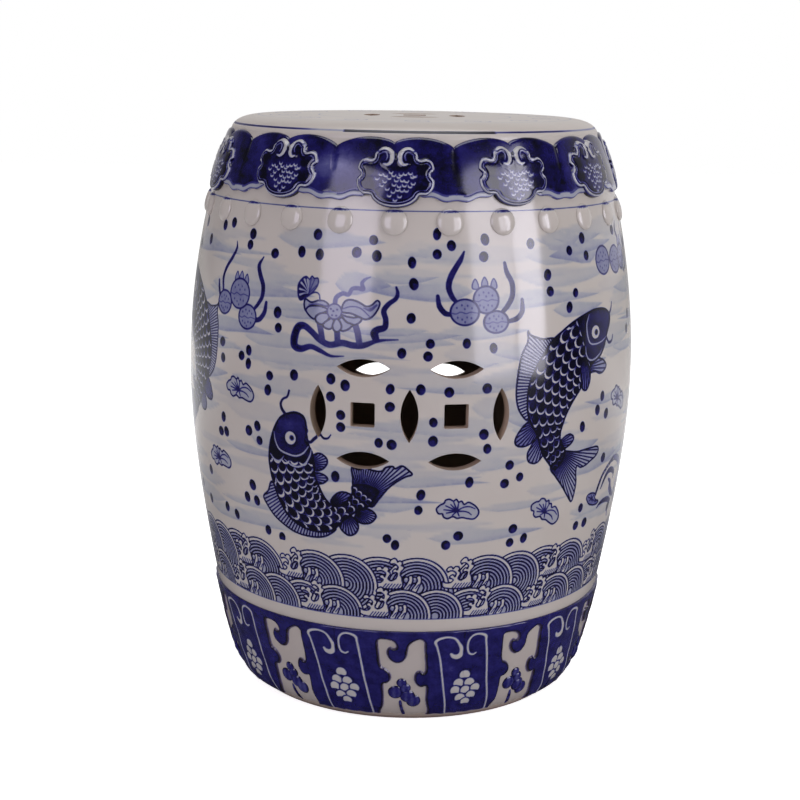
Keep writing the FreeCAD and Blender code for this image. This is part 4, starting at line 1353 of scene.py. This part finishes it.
def frieze_paint(patch):
    """Paints a panel width round a reserve; returns how far the ground is cut down, how far slip
    stands up, and where the clay shows."""
    everywhere = slice(None)
    patch.tone[:] = 0.79
    slip = np.zeros(patch.x.shape)
    left = [
        (-9, -37), (-11, -33), (-12.5, -22), (-15, -8), (-17, 5), (-19, 17), (-21.5, 27), (-23, 31.8),
        (-20.3, 34.6), (-14.5, 35.8), (-9, 34.4), (-5.5, 30), (-3.2, 25), (-3.4, 20.6), (-6, 18.5),
        (-9, 19), (-10.8, 21),
    ]
    right = [
        (25.5, -37), (24.5, -28), (22, -13), (20, -2), (18.5, 10), (17, 21), (15.6, 30), (15, 34),
        (12.4, 36), (8, 36.8), (4, 35.2), (1.6, 31), (1.5, 25), (3, 20.8), (6, 19.4), (8.4, 20.6),
    ]
    left_widths = (1.6,) * 7 + (2.4, 2.2, 1.7, 1.7, 2.2, 3.2, 4.0, 4.2, 3.6, 2)
    right_widths = (1.7,) * 7 + (2.4, 2.2, 1.7, 1.6, 1.6, 1.7, 1.7, 1.6, 1.2)
    cone = (
        (1.5, 1.5, 4.6, 4.2), (-2.8, -5.6, 4.4, 4.2), (6, -5.8, 4.4, 4.2), (-5, -12, 4.2, 4),
        (3.4, -12.6, 4.4, 4.2), (11.4, -11, 4.2, 4), (8.4, -17.4, 4.4, 3.8), (-0.5, -19, 4.6, 3.8),
        (4.5, -23, 4.2, 3.4),
    )
    for shift in (-frieze_width / 2, frieze_width / 2):
        for line, widths in ((left, left_widths), (right, right_widths)):
            line = [(x + shift, y) for x, y in line]
            patch.stroke(line, np.array(widths) + 1.3, 0.96)
            patch.stroke(line, np.array(widths) + 0.1, 0.06, soft=0.45)
            path = smooth(line)
            near, along, _ = to_path(patch.x, patch.y, path)
            half = np.interp(along, np.linspace(0, len(path) - 1, len(widths)), widths) / 2
            slip = np.maximum(slip, 0.5 * np.clip(1 - (near / (half + 0.6)) ** 2, 0, 1))
        patch.stroke([(-1.5 + shift, 19), (-1.6 + shift, 40)], 0.9, 0.9, curved=False)
        for x, y, across, up in cone:
            patch.oval(x + shift, y, across + 0.2, up + 0.5, 0.06, rim=0.92, rim_width=1.0)
            patch.oval(x + shift, y - up * 1.35, across * 1.1, up * 0.86, 0.8)
            away = np.hypot((patch.x - x - shift) / across, (patch.y - y) / up)
            slip = np.maximum(slip, 0.5 * np.sqrt(np.clip(1 - away**2, 0, 1)))
    distance = inside(patch.x, patch.y, reserve)
    patch.lay(everywhere, distance, 0.06)
    # Painted shadow: a dark band just outside the reserve, along the step down to its cut ground.
    patch.lay(everywhere, 0.9 - np.abs(distance + 0.5), 0.98)
    cut = np.clip(0.5 + distance / 1.4, 0, 1)
    bare = np.clip((-34.9 - patch.y + 0.4 * np.sin(patch.x * 0.5)) / 0.8 + 0.5, 0, 1)
    patch.tone *= 1 - bare
    patch.lay(everywhere, -36.2 - patch.y, 0.75, 0.5)
    return cut * (3 * cut - 2 * cut**2), slip * (1 - cut), bare


frieze_rows = int(round((frieze_high - frieze_low) / frieze_pitch)) + 1
frieze_columns = int(round(frieze_width / frieze_pitch)) + 1
frieze_x = np.linspace(-frieze_width / 2, frieze_width / 2, frieze_columns)
edge_steps = np.array([0, 0.15, 0.45])
rows_z = np.linspace(frieze_low + 0.9, frieze_high - 0.9, frieze_rows)
frieze_z = np.concatenate([frieze_low + edge_steps, rows_z, frieze_high - edge_steps[::-1]])
x, y = np.meshgrid(frieze_x, frieze_z - frieze_middle)
panel = Patch(x, y, np.zeros(x.shape))
cut, slip, bare = frieze_paint(panel)
edge = np.minimum(y + frieze_middle - frieze_low, frieze_high - y - frieze_middle)
edge = np.sqrt(np.clip(1 - (1 - np.clip(edge / 1.3, 0, 1)) ** 2, 0, 1))
swelling = 0.25 * np.sin(x * 0.35 + y * 0.11) * np.sin(y * 0.27)
out = (frieze_rise + slip + swelling) * (1 - cut) * edge + 0.15 * cut
plain_rows, plain_columns = 9, 13
plain = plain_rows * plain_columns
for index in range(panels):
    centre = frieze_start + panel_turn * index
    outer = on_barrel(centre + np.degrees(x / frieze_radius), y + frieze_middle, out)
    low_a = np.linspace(centre - panel_turn / 2, centre + panel_turn / 2, plain_columns)
    low_z = np.linspace(frieze_low, frieze_high, plain_rows)
    inner = on_barrel(low_a[None, :], low_z[:, None], -0.8)
    faces = block_faces((len(frieze_z), plain_rows), (frieze_columns, plain_columns))
    tone = np.concatenate([panel.tone.ravel(), np.zeros(plain)])
    # The reserves' ground is tinted a quarter of the way towards bare clay, greyer and darker than the white.
    clay = np.concatenate([np.maximum(0.8 * bare, 0.25 * cut).ravel(), np.ones(plain)])
    vertices = np.vstack([outer.reshape(-1, 3), inner.reshape(-1, 3)])
    name = f"foot_frieze_{index + 1:02d}"
    add_piece(name, vertices, faces, tone, clay, ["foot_frieze"])

# Flowers in the reserves
# A sprig in each reserve: overlapping petals of clay pressed on, dipped in cobalt, and a stem.

petals = (
    (0.6, -4.6, 4.1, 0.9), (3.4, -9.4, 4.6, 1.1), (-4.3, -13.2, 5.9, 0.95), (5.4, -16.6, 6.0, 1.3),
    (10.2, -21.0, 5.9, 1.05),
)


def petal_tone(x, y, radius):
    """A petal's tone: deep along its edge, and a little uneven across."""
    distance = radius - np.hypot(x, y)
    return 0.68 + 0.28 * np.exp(-((distance / 0.9) ** 2)) + 0.06 * np.sin(x * 1.3)


def add_sprig(name, azimuth):
    """One piece out of the petals' low domes and the flat stem: rings shrunk from each outline,
    lifted by one minus the share to the power 2.6, with a back sunk behind the glaze."""
    stem = smooth(
        [(0.4, -21), (1.9, -28), (3.6, -35), (1.2, -35.6), (-0.6, -30), (-1.6, -22)], closed=True, steps=7,
    )
    parts = [(x, y, circle(r, 40), 2.0 * h, r) for x, y, r, h in petals]
    parts.append((1.0, -28.5, stem - (1.0, -28.5), 1.4, 3.0))
    share, sunk, proud = np.array([1.0, 0.97, 0.92, 0.85, 0.74, 0.6, 0.44, 0.25]), -0.5, 0.15

    def spot(x, y, out):
        """Points on the barrel from arcs and heights about the reserve's middle."""
        return on_barrel(azimuth + np.degrees(x / frieze_radius), frieze_middle + y, out)

    vertices, faces, coats, first = [], [], [], 0
    for x, y, outline, lift, radius in parts:
        px, py = [(share[:, None] * outline[None, :, axis]).ravel() for axis in (0, 1)]
        rise = np.repeat(proud + lift * (1 - share**2.6), len(outline))
        tone = petal_tone(px, py, radius)
        count, points = len(px), len(outline)
        under = spot(x + px[:points], y + py[:points], sunk)
        vertices += [
            spot(x + px, y + py, rise), spot(x, y, proud + lift)[None], under, spot(x, y, sunk)[None],
        ]
        coats += [tone, [0.7], tone[:points], [0.7]]
        last, rim, low = np.arange(count - points, count), np.arange(points), count + 1 + np.arange(points)
        faces.append(grid_faces(len(share), points, around=True) + first)
        for a, b, hub in ((last, np.roll(last, -1), count), (np.roll(low, -1), low, count + 1 + points)):
            faces.append(np.stack([a, b, np.full(points, hub)], -1) + first)
        faces.append(np.stack([low, np.roll(low, -1), np.roll(rim, -1), rim], -1) + first)
        first += count + 2 + points
    add_piece(name, np.vstack(vertices), faces, np.concatenate(coats), 0.0, [name])


for index in range(panels):
    add_sprig(f"reserve_flower_{index + 1:02d}", frieze_start + panel_turn * index)

# Seat and foot ring
# The turned seat and the foot ring are the drawing's own solids under the same clear glaze. The
# seat has a brushed blue line round its edge and thin grey ones on top, and its holes show clay.


def band(tree, value, centre, half, soft, strength):
    """A line where a value passes the centre, half of it wide and fading over soft."""
    away = node(tree, "ShaderNodeMath", {"operation": "SUBTRACT"}, i0=value, i1=centre)
    away = node(tree, "ShaderNodeMath", {"operation": "ABSOLUTE"}, i0=away)
    fade = {"From_Min": half, "From_Max": half + soft, "To_Min": strength, "To_Max": 0.0}
    return node(tree, "ShaderNodeMapRange", Value=away, **fade)


def turned_glaze(name, gloss):
    """A copy of the glaze with a gloss of its own, ready for paint that follows Object coordinates
    in metres: the material, its nodes, the socket the paint goes to, the coordinates, x, y and z,
    and the distance from the axis."""
    made = glaze.copy()
    made.name = name
    tree = made.node_tree
    place = next(n for n in tree.nodes if n.type == "TEX_COORD").outputs["Object"]
    channels = next(n for n in tree.nodes if n.type == "SEPARATE_COLOR")
    shader = next(n for n in tree.nodes if n.type == "BSDF_PRINCIPLED")
    tree.nodes.remove(next(n for n in tree.nodes if n.type == "ATTRIBUTE"))
    shader.inputs["Roughness"].links[0].from_node.inputs["To Min"].default_value = gloss
    flat = node(tree, "ShaderNodeVectorMath", {"operation": "MULTIPLY"}, i0=place, i1=(1.0, 1.0, 0.0))
    radius = node(tree, "ShaderNodeVectorMath", {"operation": "LENGTH"}, i0=flat).outputs["Value"]
    xyz = node(tree, "ShaderNodeSeparateXYZ", Vector=place).outputs
    return made, tree, channels.inputs[0], place, xyz, radius


# The seat's glaze is duller than the wall's. Its edge line is thin and broken, but heavy over a
# stretch at the front. Two thin rings and a ring of coils, each about its own centre, lie on top.
seat_gloss, edge_height, heavy_bearing, heavy_half_turn = 0.34, 0.4532, 0.03, 0.38
rim_line_radius, ring_line_radius, clay_radius = 0.1245, 0.0765, 0.07
scroll_count, scroll_radius, scroll_pitch, scroll_reach = 14, 0.104, 0.007, 0.0125

seat_glaze, tree, paint_socket, place, (x, y, z), radius = turned_glaze("clear_glaze_on_seat", seat_gloss)
wander = node(tree, "ShaderNodeTexNoise", Vector=place, Scale=9.0, Detail=2.0)
pressed = node(tree, "ShaderNodeMapRange", Value=wander, From_Min=0.42, From_Max=0.52, To_Min=0.3, To_Max=1.0)
edge_line = band(tree, z, edge_height, 0.0004, 0.0004, 0.8)
edge_line = node(tree, "ShaderNodeMath", {"operation": "MULTIPLY"}, i0=edge_line, i1=pressed)
forward = node(tree, "ShaderNodeMath", {"operation": "MULTIPLY"}, i0=y, i1=-1.0)
bearing = node(tree, "ShaderNodeMath", {"operation": "ARCTAN2"}, i0=x, i1=forward)
heavy_line = band(tree, z, edge_height - 0.0001, 0.0007, 0.0003, 1.3)
stretch = band(tree, bearing, heavy_bearing, heavy_half_turn, 0.02, 1.0)
heavy_line = node(tree, "ShaderNodeMath", {"operation": "MULTIPLY"}, i0=heavy_line, i1=stretch)
rim_line = band(tree, radius, rim_line_radius, 0.0003, 0.0006, 0.22)
ring_line = band(tree, radius, ring_line_radius, 0.0003, 0.0006, 0.26)

# The coils: the distance from the nearest centre, less one pitch for each turn about it.
around = node(tree, "ShaderNodeMath", {"operation": "MULTIPLY"}, i0=bearing, i1=scroll_count / (2 * math.pi))
around = node(tree, "ShaderNodeMath", {"operation": "WRAP"}, i0=around, i1=0.5, i2=-0.5)
arc = 2 * math.pi * scroll_radius / scroll_count
aside = node(tree, "ShaderNodeMath", {"operation": "MULTIPLY"}, i0=around, i1=arc)
beyond = node(tree, "ShaderNodeMath", {"operation": "SUBTRACT"}, i0=radius, i1=scroll_radius)
turn = node(tree, "ShaderNodeMath", {"operation": "ARCTAN2"}, i0=beyond, i1=aside)
offset = node(tree, "ShaderNodeCombineXYZ", X=aside, Y=beyond)
reach = node(tree, "ShaderNodeVectorMath", {"operation": "LENGTH"}, i0=offset).outputs["Value"]
turns = node(tree, "ShaderNodeMath", {"operation": "DIVIDE"}, i0=turn, i1=2 * math.pi)
coil = node(tree, "ShaderNodeMath", {"operation": "DIVIDE"}, i0=reach, i1=scroll_pitch)
coil = node(tree, "ShaderNodeMath", {"operation": "SUBTRACT"}, i0=coil, i1=turns)
coil = node(tree, "ShaderNodeMath", {"operation": "FRACT"}, i0=coil)
scroll = band(tree, coil, 0.5, 0.07, 0.07, 0.42)
ends = {"From_Min": scroll_reach, "From_Max": scroll_reach + 0.0007, "To_Min": 1.0, "To_Max": 0.0}
zone = node(tree, "ShaderNodeMapRange", Value=reach, **ends)
scroll = node(tree, "ShaderNodeMath", {"operation": "MULTIPLY"}, i0=scroll, i1=zone)
tone = edge_line
for line in (heavy_line, rim_line, ring_line, scroll):
    tone = node(tree, "ShaderNodeMath", {"operation": "MAXIMUM"}, i0=tone, i1=line)

# Clay shows where a face near the middle stands upright, which is in the cut edges of the holes.
normal = node(tree, "ShaderNodeNewGeometry").outputs["True Normal"]
steep = node(tree, "ShaderNodeSeparateXYZ", Vector=normal).outputs[2]
upright = node(tree, "ShaderNodeMapRange", Value=steep, From_Min=0.3, From_Max=0.6, To_Min=1.0, To_Max=0.0)
ends = {"From_Min": clay_radius, "From_Max": clay_radius + 0.005, "To_Min": 1.0, "To_Max": 0.0}
central = node(tree, "ShaderNodeMapRange", Value=radius, **ends)
clay = node(tree, "ShaderNodeMath", {"operation": "MULTIPLY"}, i0=upright, i1=central)
paint = node(tree, "ShaderNodeCombineColor", Red=tone, Green=clay)
tree.links.new(paint.outputs[0], paint_socket)

# The foot ring is wiped bare where it stands, with a dark line in the clay near the ground.
foot_glaze, tree, paint_socket, place, (x, y, z), radius = turned_glaze("clear_glaze_on_foot", glaze_gloss)
wiped = node(tree, "ShaderNodeMapRange", Value=z, From_Min=0.004, From_Max=0.006, To_Min=1.0, To_Max=0.0)
clay = node(tree, "ShaderNodeMath", {"operation": "MULTIPLY"}, i0=wiped, i1=0.8)
low_dark_line = band(tree, z, 0.0015, 0.0012, 0.001, 0.8)
paint = node(tree, "ShaderNodeCombineColor", Red=low_dark_line, Green=clay)
tree.links.new(paint.outputs[0], paint_socket)

for name, material in (("seat_disc", seat_glaze), ("foot_ring", foot_glaze)):
    for spot in bpy.data.objects[name].material_slots:
        spot.material = material

bpy.context.view_layer.update()
